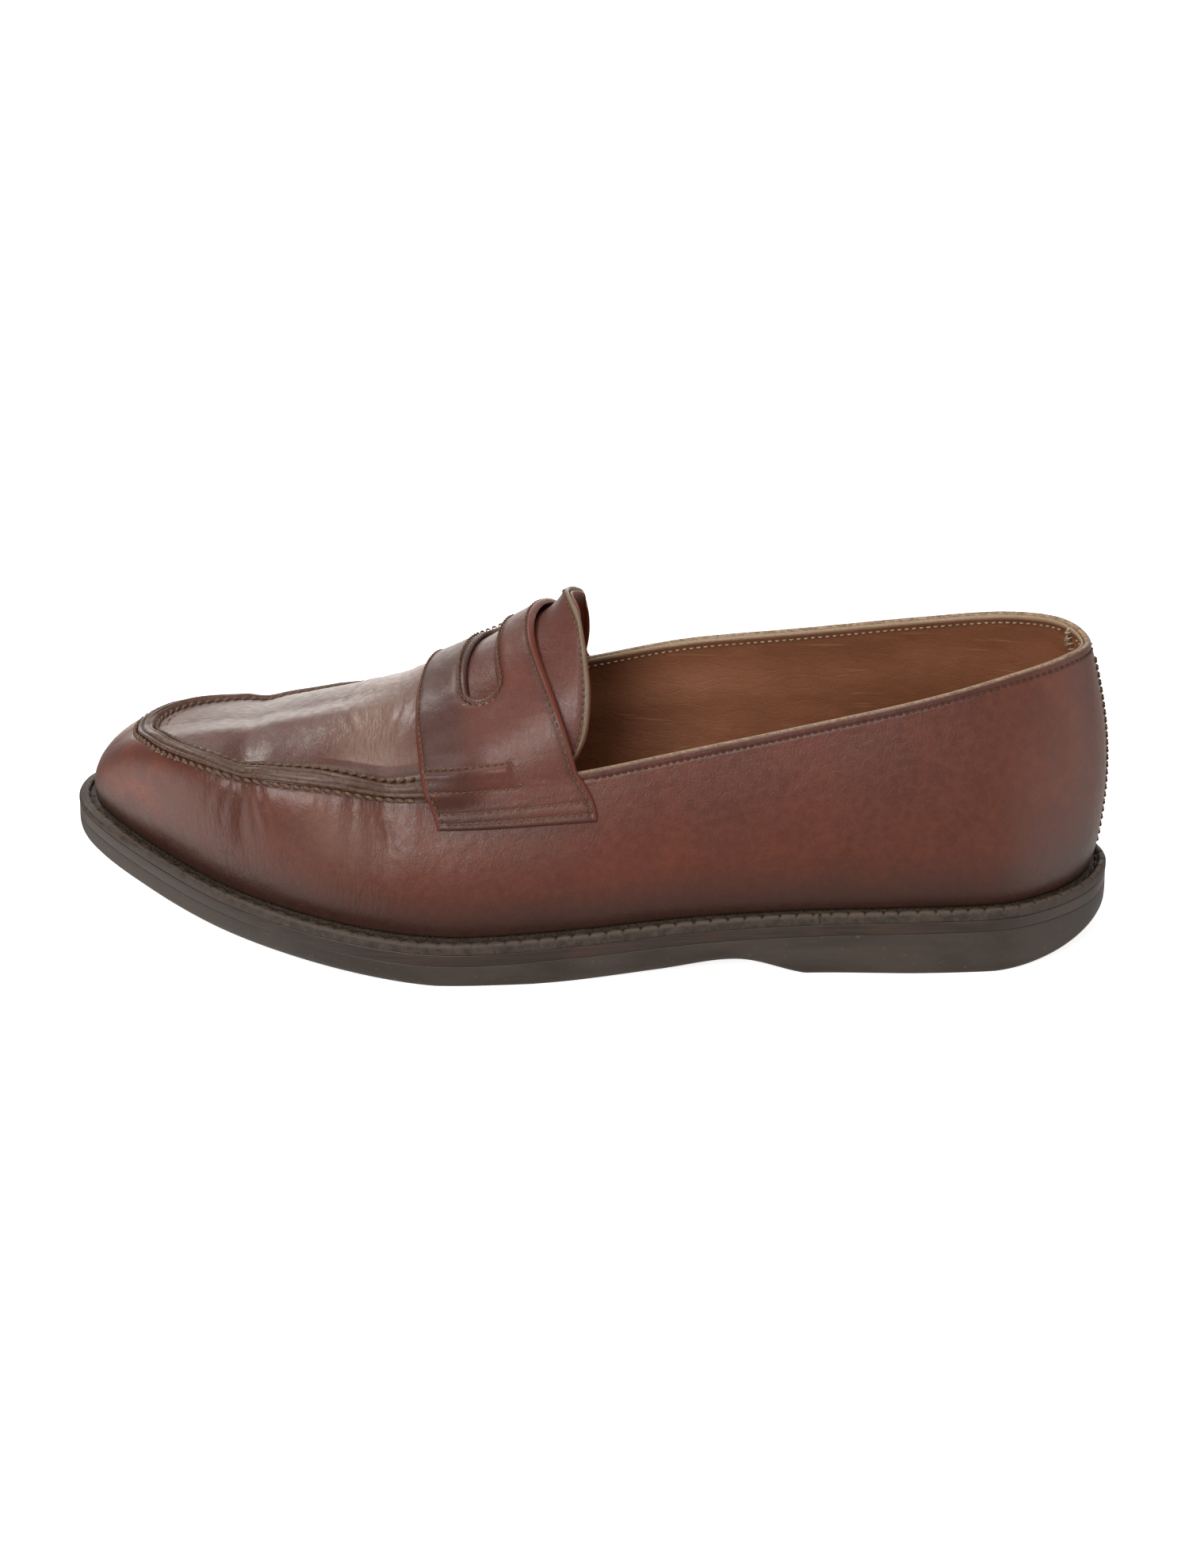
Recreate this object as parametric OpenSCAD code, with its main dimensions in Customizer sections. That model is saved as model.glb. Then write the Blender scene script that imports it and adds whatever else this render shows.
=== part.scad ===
// Penny loafer for the left foot: a slip-on shoe with a stitched apron, a slotted saddle strap,
// a full leather lining, a stitched welt, a leather midsole and a one-piece rubber sole with its heel.
// The toe points to -X, the outer side of the foot is -Y, and the shoe stands on z = 0.

/* [Size] */
// Length of the sole from heel to toe
sole_length = 295; // [285:1:305]
// Width of the sole across the ball of the foot
ball_width = 103.5; // [100:0.5:107]

/* [Bottom] */
// Thickness of the welt
welt_t = 3; // [2.5:0.25:3.5]
// Thickness of the midsole
midsole_t = 3.5; // [3:0.25:4]
// Thickness of the insole
insole_t = 3; // [2.5:0.25:3.5]
// Thickness of the heel pad inside the shoe
pad_t = 1; // [0.8:0.1:1.2]
// Length of the steel shank
shank_l = 105; // [95:1:115]
// Width of the steel shank
shank_w = 13; // [11:1:15]
// Thickness of the steel shank
shank_t = 1.2; // [1:0.1:1.3]

/* [Upper] */
// Thickness of the upper leather
upper_t = 1.6; // [1.5:0.1:1.8]
// Thickness of the lining leather
lining_t = 1; // [0.9:0.1:1.1]
// Thickness of the heel counter and of the toe puff
stiffener_t = 1.2; // [1.1:0.1:1.3]
// Height of the raised seam round the apron
ridge_h = 1.5; // [1.2:0.1:1.8]

/* [Strap and tongue] */
// Thickness of the saddle strap
strap_t = 2; // [1.8:0.1:2.4]
// Length of the slot in the strap, across the foot
slot_l = 39; // [34:1:42]
// Width of the slot in the strap
slot_w = 8.5; // [7:0.5:10]
// Thickness of the outer tongue leather
tongue_t = 1.5; // [1.3:0.1:1.6]

/* [Stitching] */
// Diameter of the fine thread
thread_d = 0.8; // [0.7:0.05:0.9]
// Diameter of the heavy thread of the welt and the apron
heavy_thread_d = 1; // [0.9:0.05:1.1]

/* [Hidden] */

// Stations run round the shoe from the middle of the heel (0), along the outer side to the toe (12)
// and back along the inner side (24 = 0). Stations t and 24 - t face each other across the foot.
STATIONS = 24;
TOE = STATIONS / 2;

// Edge of the sole at each station, for a sole 295 long and 103.5 wide
OUTLINE = [[146, 3], [139, -17], [121, -31], [95, -35], [60, -36.5], [25, -40], [-8, -46], [-40, -49.5],
           [-72, -46], [-103, -36], [-129, -19], [-146, -1], [-149, 16], [-143, 31], [-128, 43], [-103, 52],
           [-72, 54], [-40, 49.5], [-8, 39], [25, 32], [60, 31.5], [95, 36.5], [121, 34], [139, 21]];
// Top edge of the upper's wall at each station: the topline, then the apron seam round the toe
TOP_EDGE = [[138.5, 1, 87.5], [132, -13, 88], [116, -21, 85], [92, -25.5, 79], [58, -28, 71.3],
            [25, -30.5, 64.3], [-4, -33, 58.5], [-40, -35.5, 53.5], [-70, -36.5, 53.5], [-97, -32.5, 55],
            [-117, -20, 55.5], [-127, -4, 54.5], [-129, 11, 53.8], [-122.5, 24, 53.5], [-110, 31.5, 52.5],
            [-90, 37, 52.5], [-64, 39, 55], [-36, 36.5, 60], [-4, 32, 68], [25, 28.5, 75.5], [58, 26.5, 80],
            [92, 26.5, 84], [116, 24, 87], [132, 15, 88.5]];
// Height of the underside along the shoe, [x, z]: toe spring, tread, arch, heel and its worn back edge
UNDERSIDE = [[-149, 22], [-126, 15.5], [-100, 8.8], [-70, 3], [-42, -0.4], [-10, -0.2], [20, 2], [42, 4.2],
             [60, -0.3], [66, -0.5], [112, -0.5], [130, 2.2], [146, 7]];
// Height of the top of the welt along the shoe
WELT_TOP = [[-149, 34.5], [-126, 28], [-100, 21.2], [-70, 15.6], [-40, 13], [0, 14.6], [40, 17.3],
            [80, 18.8], [115, 19.6], [146, 21]];
// Width of the welt that shows outside the upper
WELT_SHOWS = [[-146, 5], [-100, 5.5], [-40, 6], [10, 5.2], [60, 4.2], [146, 4.2]];
// Height of the crest of the instep, from the toe end of the apron to the end of the tongue
CREST = [[-129, 53.8], [-110, 56.5], [-92, 60], [-74, 63.5], [-56, 70], [-47, 72.5], [-38, 77], [-29, 82.5],
         [-20, 88], [-11, 94.3], [-4, 99.3]];
// How far, as a share of the width, the crest's shoulders stand in from the edges
SHOULDER = [[-128, 0.3], [-90, 0.28], [-60, 0.2], [-40, 0.14], [0, 0.12]];
// Bulge of the wall above the welt and below its top edge: distance outward, and share of the height
LOW_OUT = [[-146, 1.5], [-100, 2.5], [-40, 3], [40, 4], [100, 4.5], [146, 5.5]];
LOW_UP = [[-146, 0.5], [-60, 0.45], [60, 0.35], [146, 0.33]];
HIGH_OUT = [[-146, 6], [-110, 7], [-70, 5], [-40, 4], [60, 4.5], [146, 6.8]];
HIGH_DOWN = [[-146, 0.05], [-110, 0.1], [-70, 0.25], [-40, 0.33], [146, 0.33]];

kx = sole_length / 295;
ky = ball_width / 103.5;
seat = 0.05;                     // air between one flat layer of the bottom and the next
gap = 0.3;                       // air between one layer of the upper and the next
steps = 4;                       // sections between two stations
tip = 0.1;                       // how far from the heel and toe centres the bottom layers end
lining_depth = upper_t + stiffener_t + 2 * gap;
inner_wall = lining_depth + lining_t;
welt_under = 3.6;                // how far the welt reaches in under the upper
rib_t = 1.2;
sole_top = welt_t + midsole_t;   // depth of the rubber's top below the welt's top

// ---- curves ----
function unit(v) = v / norm(v);
function clamp01(x) = min(max(x, 0), 1);
function ease(x) = let (c = clamp01(x)) c * c * (3 - 2 * c);
function segment(table, x, i = 0) =
    i >= len(table) - 2 || x < table[i + 1][0] ? i : segment(table, x, i + 1);
function slope(table, i) =
    let (a = table[max(i - 1, 0)], b = table[min(i + 1, len(table) - 1)]) (b[1] - a[1]) / (b[0] - a[0]);
// Smooth curve through a table of [x, value] pairs, flat past both ends
function along(table, x) =
    let (u = min(max(x / kx, table[0][0]), table[len(table) - 1][0]),
         i = segment(table, u), h = table[i + 1][0] - table[i][0], s = (u - table[i][0]) / h)
    table[i][1] * (1 + 2 * s) * pow(1 - s, 2) + slope(table, i) * h * s * pow(1 - s, 2)
    + table[i + 1][1] * s * s * (3 - 2 * s) + slope(table, i + 1) * h * s * s * (s - 1);
// Smooth closed curve through a list of points, one point a station
function loop_at(p, t) =
    let (n = len(p), w = t - n * floor(t / n), i = floor(w), s = w - i,
         a = p[(i + n - 1) % n], b = p[i], c = p[(i + 1) % n], d = p[(i + 2) % n])
    0.5 * (2 * b + (c - a) * s + (2 * a - 5 * b + 4 * c - d) * s * s + (3 * b - a - 3 * c + d) * pow(s, 3));
function bezier(a, b, c, d, s) =
    a * pow(1 - s, 3) + 3 * b * s * pow(1 - s, 2) + 3 * c * s * s * (1 - s) + d * pow(s, 3);

outline = [for (p = OUTLINE) [p[0] * kx, p[1] * ky]];
top_edge = [for (p = TOP_EDGE) [p[0] * kx, p[1] * ky, p[2]]];
edge_samples = [for (i = [0 : STATIONS * steps - 1]) loop_at(outline, i / steps)];
xs = [for (p = edge_samples) p[0]];
ys = [for (p = edge_samples) p[1]];
// Puts the middle of the sole's box over the origin
centring = [-(max(xs) + min(xs)) / 2, -(max(ys) + min(ys)) / 2, 0];

// ---- the shape of the bottom ----
function outward(t) = let (g = loop_at(outline, t + 0.02) - loop_at(outline, t - 0.02)) unit([-g[1], g[0]]);
// A point on the sole's edge moved inward, at a depth below the top of the welt
function bottom_point(t, inset, depth) =
    let (p = loop_at(outline, t) - inset * outward(t)) [p[0], p[1], along(WELT_TOP, p[0]) - depth];
function underside_point(t, inset, rise) =
    let (p = loop_at(outline, t) - inset * outward(t)) [p[0], p[1], along(UNDERSIDE, p[0]) + rise];
function feather_inset(t) = along(WELT_SHOWS, loop_at(outline, t)[0]);

// ---- the shape of the upper ----
// The wall's outer face: v runs from the welt (0) to the top edge (1)
wall = function (t, v)
    let (n2 = outward(t), n = [n2[0], n2[1], 0], p = bottom_point(t, feather_inset(t), -seat),
         top = loop_at(top_edge, t), rise = top[2] - p[2], x = p[0],
         low = p + n * along(LOW_OUT, x) + [0, 0, along(LOW_UP, x) * rise],
         high = top + n * along(HIGH_OUT, x) - [0, 0, along(HIGH_DOWN, x) * rise])
    bezier(p, low, high, top, v);
// The arch over the foot between stations t and 24 - t: q runs from the outer (0) to the inner side (1)
arch = function (t, q)
    let (a = loop_at(top_edge, t), b = loop_at(top_edge, STATIONS - t), middle = (a + b) / 2,
         up = [0, 0, (along(CREST, middle[0]) - middle[2]) / 0.75], inward = (b - a) * along(SHOULDER, middle[0]))
    bezier(a, a + inward + up, b - inward + up, b, q);
function normal(f, t, v) =
    let (e = 0.02) unit(cross(f(t, v + e) - f(t, v - e), f(t + e, v) - f(t - e, v)));
// Where the wall and the apron meet, both use the direction halfway between their own
function seam_normal(t) =
    let (near = t <= TOE, s = near ? t : STATIONS - t) unit(normal(wall, t, 1) + normal(arch, s, near ? 0 : 1));
function seamed(t) = ease((min(t, STATIONS - t) - 6.9) / 0.3);
function wall_normal(t, v) = v == 1 && seamed(t) > 0 ? seam_normal(t) : normal(wall, t, v);
function wall_at(t, v, d) = wall(t, v) + d * wall_normal(t, v);
function arch_at(t, q, d) = arch(t, q) + d * normal(arch, t, q);

// ---- solids ----
function volume(p, faces) = [for (f = faces) cross(p[f[0]], p[f[1]]) * p[f[2]]] * [for (f = faces) 1];
// Joins a row of sections, each with the same even number of points, into one solid
module loft(sections, closed = false) {
    n = len(sections);
    k = len(sections[0]);
    points = [for (s = sections) each s];
    sides = [for (i = [0 : closed ? n - 1 : n - 2], j = [0 : k - 1])
             let (a = i * k, b = ((i + 1) % n) * k, m = (j + 1) % k)
             each [[a + j, a + m, b + m], [a + j, b + m, b + j]]];
    last = (n - 1) * k;
    caps = closed ? [] : [for (j = [0 : k / 2 - 2])
             let (a = j, b = j + 1, c = k - 2 - j, d = k - 1 - j)
             each [[c, b, a], [d, c, a], [last + a, last + b, last + c], [last + a, last + c, last + d]]];
    faces = concat(sides, caps);
    outward_faces = volume(points, faces) < 0 ? faces : [for (f = faces) [f[2], f[1], f[0]]];
    polyhedron(points, outward_faces);
}
// A layer of the bottom that fills the outline, from one depth below the welt's top to another
module layer(inset, top, base, from = tip, to = TOE - tip)
    loft([for (i = [0 : round((to - from) * steps)])
          let (t = from + (to - from) * i / round((to - from) * steps), u = STATIONS - t)
          [bottom_point(t, inset(t), top), bottom_point(t, inset(t), base),
           bottom_point(u, inset(u), base), bottom_point(u, inset(u), top)]]);
// A layer of the bottom that is a band round the edge
module band(outer, inner, top, base)
    loft([for (i = [0 : STATIONS * steps - 1])
          let (t = i / steps)
          [bottom_point(t, outer(t), top), bottom_point(t, outer(t), base),
           bottom_point(t, inner(t), base), bottom_point(t, inner(t), top)]], closed = true);
// A skin of the wall between two stations: rows is a function of the station that gives [v, outer, inner]
module wall_skin(rows, from = 0, to = STATIONS, closed = false) {
    count = round((to - from) * steps);
    loft([for (i = [0 : closed ? count - 1 : count])
          let (t = from + (to - from) * i / count, r = rows(t))
          [for (a = r) wall_at(t, a[0], a[1]), for (j = [len(r) - 1 : -1 : 0]) wall_at(t, r[j][0], r[j][2])]],
         closed = closed);
}
// One stitch for each pair of neighbouring points; each covers a share of the way to the next
module stitches(points, d, share = 0.65)
    for (i = [0 : len(points) - 2]) {
        way = points[i + 1] - points[i];
        translate(points[i])
            rotate([0, acos(way[2] / norm(way)), atan2(way[1], way[0])])
                cylinder(d = d, h = norm(way) * share, $fn = 16);
    }

// ---- the bottom ----
module outsole() color([0.16, 0.13, 0.12]) translate(centring) intersection() {
    edge_in = 0.8;
    foot_in = 2.4;
    round_h = 2.2;
    loft([for (i = [0 : (STATIONS / 2) * steps])
          let (t = tip + (TOE - 2 * tip) * i / ((STATIONS / 2) * steps), u = STATIONS - t)
          [bottom_point(t, edge_in, sole_top), underside_point(t, edge_in / 2, round_h),
           underside_point(t, foot_in, 0), underside_point(u, foot_in, 0),
           underside_point(u, edge_in / 2, round_h), bottom_point(u, edge_in, sole_top)]]);
    translate([-sole_length, -ball_width, 0])
        cube([2 * sole_length, 2 * ball_width, 60]);
}
module midsole() color([0.25, 0.17, 0.14]) translate(centring)
    layer(function (t) 0.3, welt_t + seat, sole_top - seat);
module welt() color([0.33, 0.22, 0.18]) translate(centring)
    band(function (t) 0, function (t) feather_inset(t) + welt_under, 0, welt_t);
module welt_stitching() color([0.62, 0.5, 0.36]) translate(centring) {
    in_from_edge = 2;
    stitches([for (i = [0 : STATIONS * 5]) bottom_point(i / 5, in_from_edge, -heavy_thread_d / 4)], heavy_thread_d);
}
module insole_rib() color([0.72, 0.62, 0.48]) translate(centring)
    band(function (t) feather_inset(t) + welt_under + gap, function (t) feather_inset(t) + welt_under + gap + rib_t,
         2 * seat, welt_t - seat);
module inseam_stitching() color([0.8, 0.74, 0.6]) translate(centring) {
    in_from_rib = 0.6 + heavy_thread_d / 2;
    row = welt_under + gap + rib_t + in_from_rib;
    stitches([for (i = [0 : STATIONS * 3]) bottom_point(i / 3, feather_inset(i / 3) + row, welt_t / 2)],
             heavy_thread_d);
}
function filler_inset(t) = feather_inset(t) + welt_under + rib_t + 2 * heavy_thread_d + 1.6;
// A strip along the middle of the waist, between two depths below the welt's top
module shank_strip(length, width, top, base) {
    waist = 42;
    count = 12;
    loft([for (i = [0 : count])
          let (x = waist * kx + length * (i / count - 0.5), z = along(WELT_TOP, x))
          [[x, -width / 2, z - top], [x, -width / 2, z - base], [x, width / 2, z - base], [x, width / 2, z - top]]]);
}
module cork_filler() color([0.6, 0.45, 0.3]) translate(centring) difference() {
    layer(function (t) filler_inset(t), 2 * seat, welt_t - seat, from = 0.4, to = TOE - 0.6);
    shank_strip(shank_l + 2 * gap, shank_w + 2 * gap, -1, shank_t + 4 * seat);
}
module shank() color([0.55, 0.56, 0.58]) translate(centring)
    shank_strip(shank_l, shank_w, 3 * seat, shank_t + 3 * seat);
module insole() color([0.76, 0.62, 0.45]) translate(centring)
    layer(function (t) feather_inset(t) + inner_wall + 0.5, -insole_t, -seat, from = 0.3, to = TOE - 0.3);
module heel_pad() color([0.6, 0.38, 0.2]) translate(centring)
    layer(function (t) feather_inset(t) + inner_wall + 1.2, -insole_t - pad_t - seat, -insole_t - seat,
          from = 0.3, to = 4.9);

// ---- the upper ----
module upper_wall() color([0.42, 0.22, 0.18]) translate(centring)
    wall_skin(function (t) let (r = ridge_h * seamed(t))
              [[0, 0, -upper_t], [0.15, 0, -upper_t], [0.35, 0, -upper_t], [0.55, 0, -upper_t], [0.72, 0, -upper_t],
               [0.84, 0, -upper_t], [0.93, 0, -upper_t], [0.965, r, -upper_t], [1, r, -upper_t]], closed = true);
module stiffener(from, to, top)
    wall_skin(function (t) [for (i = [0 : 4]) let (v = 0.04 + (top - 0.04) * i / 4)
              [v, -upper_t - gap, -upper_t - gap - stiffener_t]], from = from, to = to);
module heel_counter() color([0.8, 0.72, 0.58]) translate(centring) stiffener(-3, 3, 0.6);
module toe_puff() color([0.8, 0.72, 0.58]) translate(centring) stiffener(9.2, 14.8, 0.8);
// Near the topline the lining lies against the upper leather; lower down it makes room for the counter
function lining_row(v, rise) =
    let (d = lining_depth - stiffener_t * rise * ease((v - 0.65) / 0.25) - gap * rise * ease((v - 0.65) / 0.25))
    [v, -d, -d - lining_t];
// Station of the seam between the two quarter linings, a little to the inner side of the heel's middle
LINING_SEAM = 23.3;
module quarter_lining(from, to)
    wall_skin(function (t) [for (v = [0.04, 0.2, 0.4, 0.6, 0.75, 0.88, 1]) lining_row(v, 1)], from = from, to = to);
module quarter_lining_lateral() color([0.66, 0.4, 0.22]) translate(centring)
    quarter_lining(LINING_SEAM - STATIONS + 0.05, 6.8);
module quarter_lining_medial() color([0.66, 0.4, 0.22]) translate(centring)
    quarter_lining(17.2, LINING_SEAM - 0.05);
module vamp_lining() color([0.7, 0.58, 0.44]) translate(centring)
    wall_skin(function (t) [for (v = [0.04, 0.25, 0.45, 0.65, 0.82]) lining_row(v, 0)], from = 6.9, to = 17.1);

// ---- the apron ----
APRON_FRONT = TOE - 0.2;
APRON_BACK = 6.58;
// Width of the arch at a station, measured over the leather
function arch_width(t) = 1.05 * norm(loop_at(top_edge, STATIONS - t) - loop_at(top_edge, t));
function spread(from, to, count) = [for (i = [0 : count]) from + (to - from) * i / count];
// Sections of the apron, and the rows of its plain leather between the raised seams at its two edges
apron_ts = spread(APRON_BACK, APRON_FRONT, 24);
function plain_rows(t) = let (foot = min(0.34, 2.9 / arch_width(t))) spread(foot, 1 - foot, 10);
function apron_rows(t) =
    let (w = arch_width(t), r = ridge_h * seamed(t), edge = 0.1 / w, crest = min(0.24, 1.9 / w))
    [[edge, r], [crest, r], for (q = plain_rows(t)) [q, 0], [1 - crest, r], [1 - edge, r]];
function apron_point(t, q, d) =
    let (w = arch_width(t)) arch(t, q) + d * (min(q, 1 - q) < 0.2 / w ? seam_normal(q < 0.5 ? t : STATIONS - t)
                                                                       : normal(arch, t, q));
module apron() color([0.43, 0.23, 0.19]) translate(centring)
    loft([for (t = apron_ts)
          let (r = apron_rows(t))
          [for (a = r) apron_point(t, a[0], a[1]), for (j = [len(r) - 1 : -1 : 0]) apron_point(t, r[j][0], -upper_t)]]);
module apron_lining() color([0.7, 0.58, 0.44]) translate(centring) {
    top = upper_t + gap;
    loft([for (i = [0 : 20])
          let (t = apron_ts[i], qs = plain_rows(t))
          [for (q = qs) arch_at(t, q, -top), for (j = [len(qs) - 1 : -1 : 0]) arch_at(t, qs[j], -top - lining_t)]]);
}
module apron_stitching() color([0.55, 0.42, 0.32]) translate(centring) {
    ts = spread(7.55, APRON_FRONT - 0.15, 34);
    for (side = [0, 1]) {
        stitches([for (t = ts) wall_at(side == 0 ? t : STATIONS - t, 0.83, heavy_thread_d / 4)], heavy_thread_d);
        stitches([for (t = ts) let (e = min(0.4, 4.2 / arch_width(t))) arch_at(t, abs(side - e), heavy_thread_d / 4)],
                 heavy_thread_d);
    }
}

// ---- the saddle strap ----
// q runs over the foot from the strap's outer end (-1) to its inner end (1); past SPLIT it lies on the wall
SPLIT = 0.6;
STRAP_REACH = [0.37, 0.31];
// The strap's edges in stations: where they end, how much further forward they are over the crest, and
// how quickly they get there
STRAP_FRONT = [7.05, 0.31, 1.7];
STRAP_BACK = [5.77, 0.6, 2];
function strap_edge(e, q) = e[0] + e[1] * pow(cos(90 * min(abs(q), 0.999)), e[2]);
function strap_station(s, q) = strap_edge(STRAP_BACK, q) * (1 - s) + strap_edge(STRAP_FRONT, q) * s;
// The surface under the strap: s runs from its back edge (0) to its front edge (1)
strap_base = function (s, q)
    let (t = strap_station(s, q),
         reach = STRAP_REACH[0] * (1 - s) + STRAP_REACH[1] * s,
         down = 1 - reach * (abs(q) - SPLIT) / (1 - SPLIT))
    abs(q) <= SPLIT ? arch(t, (q / SPLIT + 1) / 2) : wall(q < 0 ? t : STATIONS - t, down);
// The strap rises where it crosses the raised seam
function seam_lift(s, q) =
    (ridge_h + gap) * seamed(strap_station(s, q) + 0.15) * (1 - ease((abs(abs(q) - SPLIT) - 0.05) / 0.06));
function strap_at(s, q, d) = strap_base(s, q) + (d + gap + seam_lift(s, q)) * normal(strap_base, s, q);
// Rows from the middle of the strap to its end, closer together over the raised seam
STRAP_ROWS = [0, 0.08, 0.16, 0.24, 0.32, 0.4, 0.47, 0.52, 0.555, 0.59, 0.63, 0.68, 0.75, 0.83, 0.91, 1];
strap_qs = [for (i = [len(STRAP_ROWS) - 1 : -1 : 1]) -STRAP_ROWS[i], each STRAP_ROWS];
slot_middle = 0.43;
module saddle_strap() color([0.44, 0.23, 0.19]) translate(centring) difference() {
    loft([for (s = spread(0, 1, 7))
          [for (q = strap_qs) strap_at(s, q, strap_t),
           for (i = [len(strap_qs) - 1 : -1 : 0]) strap_at(s, strap_qs[i], 0)]]);
    crest = strap_at(slot_middle, 0, 0);
    up = normal(strap_base, slot_middle, 0);
    translate(crest) rotate([0, atan2(up[0], up[2]), 0]) {
        cube([slot_w, slot_l - slot_w, 30], center = true);
        for (side = [-1, 1])
            translate([0, side * (slot_l - slot_w) / 2, 0]) cylinder(d = slot_w, h = 30, center = true, $fn = 48);
    }
}
module strap_stitching() color([0.6, 0.46, 0.34]) translate(centring) {
    over = strap_t + thread_d / 4;
    edge = 0.07;
    for (s = [edge, 1 - edge])
        stitches([for (q = spread(-0.97, 0.97, 44)) strap_at(s, q, over)], thread_d);
    for (side = [-1, 1], q = [0.88, 0.97])
        stitches([for (s = spread(edge, 1 - edge, 11)) strap_at(s, side * q, over)], thread_d);
}

// ---- the tongue ----
TONGUE_BACK = 5.9;
TONGUE_ROOT = 6.5;
function tongue_edge(t) = 0.05 + 0.25 * ease((t - TONGUE_BACK) / (TONGUE_ROOT - TONGUE_BACK));
function tongue_sink(q) = 1 + 2.6 * pow(2 * q - 1, 4);
module tongue_skin(top, thickness, trim) {
    loft([for (t = spread(TONGUE_BACK + trim, TONGUE_ROOT - trim, 8))
          let (e = tongue_edge(t) + trim / 2, qs = spread(e, 1 - e, 14))
          [for (q = qs) arch_at(t, q, -tongue_sink(q) - top),
           for (j = [len(qs) - 1 : -1 : 0]) arch_at(t, qs[j], -tongue_sink(qs[j]) - top - thickness)]]);
}
module tongue() color([0.42, 0.22, 0.18]) translate(centring) tongue_skin(0, tongue_t, 0);
module tongue_lining() color([0.55, 0.28, 0.18]) translate(centring)
    tongue_skin(tongue_t + 2 * gap, lining_t, 0.025);
module tongue_stitching() color([0.6, 0.46, 0.34]) translate(centring) {
    back = TONGUE_BACK + 0.09;
    e = tongue_edge(back) + 0.05;
    stitches([for (q = spread(e, 1 - e, 26)) arch_at(back, q, -tongue_sink(q) + thread_d / 8)], thread_d);
}

// ---- seams of the upper ----
module topline_stitching() color([0.6, 0.46, 0.34]) translate(centring) {
    row = 0.95;
    for (ends = [[0.08, 5.7], [18.3, 23.92]])
        stitches([for (t = spread(ends[0], ends[1], 36)) wall_at(t, row, thread_d / 4)], thread_d);
}
module back_seam_stitching() color([0.62, 0.5, 0.36]) translate(centring)
    for (side = [-0.06, 0.06])
        stitches([for (v = spread(0.1, 0.92, 14)) wall_at(side, v, thread_d / 4)], thread_d);
module lining_seam_stitching() color([0.8, 0.74, 0.6]) translate(centring)
    for (side = [-0.09, 0.09])
        stitches([for (v = spread(0.25, 0.95, 12))
                  let (r = lining_row(v, 1)) wall_at(LINING_SEAM + side, v, r[2] - thread_d / 4)], thread_d);

outsole();
midsole();
welt();
welt_stitching();
insole_rib();
inseam_stitching();
cork_filler();
shank();
insole();
heel_pad();
upper_wall();
heel_counter();
toe_puff();
quarter_lining_lateral();
quarter_lining_medial();
vamp_lining();
apron();
apron_lining();
apron_stitching();
saddle_strap();
strap_stitching();
tongue();
tongue_lining();
tongue_stitching();
topline_stitching();
back_seam_stitching();
lining_seam_stitching();
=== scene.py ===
"""The looks of the penny loafer: a worn, polished, red-brown slip-on with a stitched apron and a saddle strap.

The shoe is described once, in millimetres, by the same curves as the CAD model. Every piece that shows is
built from them. The CAD solids inside the shoe stay as they are and only get a material.
"""

import math

import bpy
import numpy as np
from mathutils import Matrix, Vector


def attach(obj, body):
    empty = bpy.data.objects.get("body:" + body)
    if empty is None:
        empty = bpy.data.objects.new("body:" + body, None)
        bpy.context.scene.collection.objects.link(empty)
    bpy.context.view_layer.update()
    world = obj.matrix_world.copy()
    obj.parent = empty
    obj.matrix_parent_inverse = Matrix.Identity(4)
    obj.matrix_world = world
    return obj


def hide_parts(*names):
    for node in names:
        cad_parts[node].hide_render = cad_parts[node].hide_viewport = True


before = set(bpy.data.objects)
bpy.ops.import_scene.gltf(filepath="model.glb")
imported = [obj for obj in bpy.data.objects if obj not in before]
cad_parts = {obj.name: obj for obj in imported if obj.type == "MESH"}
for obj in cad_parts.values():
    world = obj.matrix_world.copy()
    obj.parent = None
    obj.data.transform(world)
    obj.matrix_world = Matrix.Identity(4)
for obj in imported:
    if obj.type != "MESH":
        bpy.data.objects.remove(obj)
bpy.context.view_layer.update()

MM = 0.001

# ---------------------------------------------------------------- the shoe's curves, in millimetres
# Stations run from mid-heel (0) along the outer side to the toe (12) and back along the inner side.
STATIONS = 24
TOE = 12
OUTLINE = np.array([
    (146, 3), (139, -17), (121, -31), (95, -35), (60, -36.5), (25, -40), (-8, -46), (-40, -49.5),
    (-72, -46), (-103, -36), (-129, -19), (-146, -1), (-149, 16), (-143, 31), (-128, 43), (-103, 52),
    (-72, 54), (-40, 49.5), (-8, 39), (25, 32), (60, 31.5), (95, 36.5), (121, 34), (139, 21)], float)
TOP_EDGE = np.array([
    (138.5, 1, 87.5), (132, -13, 88), (116, -21, 85), (92, -25.5, 79), (58, -28, 71.3),
    (25, -30.5, 64.3), (-4, -33, 58.5), (-40, -35.5, 53.5), (-70, -36.5, 53.5), (-97, -32.5, 55),
    (-117, -20, 55.5), (-127, -4, 54.5), (-129, 11, 53.8), (-122.5, 24, 53.5), (-110, 31.5, 52.5),
    (-90, 37, 52.5), (-64, 39, 55), (-36, 36.5, 60), (-4, 32, 68), (25, 28.5, 75.5), (58, 26.5, 80),
    (92, 26.5, 84), (116, 24, 87), (132, 15, 88.5)], float)
UNDERSIDE = [(-149, 22), (-126, 15.5), (-100, 8.8), (-70, 3), (-42, -0.4), (-10, -0.2), (20, 2), (42, 4.2),
             (60, -0.3), (66, -0.5), (112, -0.5), (130, 2.2), (146, 7)]
WELT_TOP = [(-149, 34.5), (-126, 28), (-100, 21.2), (-70, 15.6), (-40, 13), (0, 14.6), (40, 17.3),
            (80, 18.8), (115, 19.6), (146, 21)]
WELT_SHOWS = [(-146, 5), (-100, 5.5), (-40, 6), (10, 5.2), (60, 4.2), (146, 4.2)]
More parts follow.
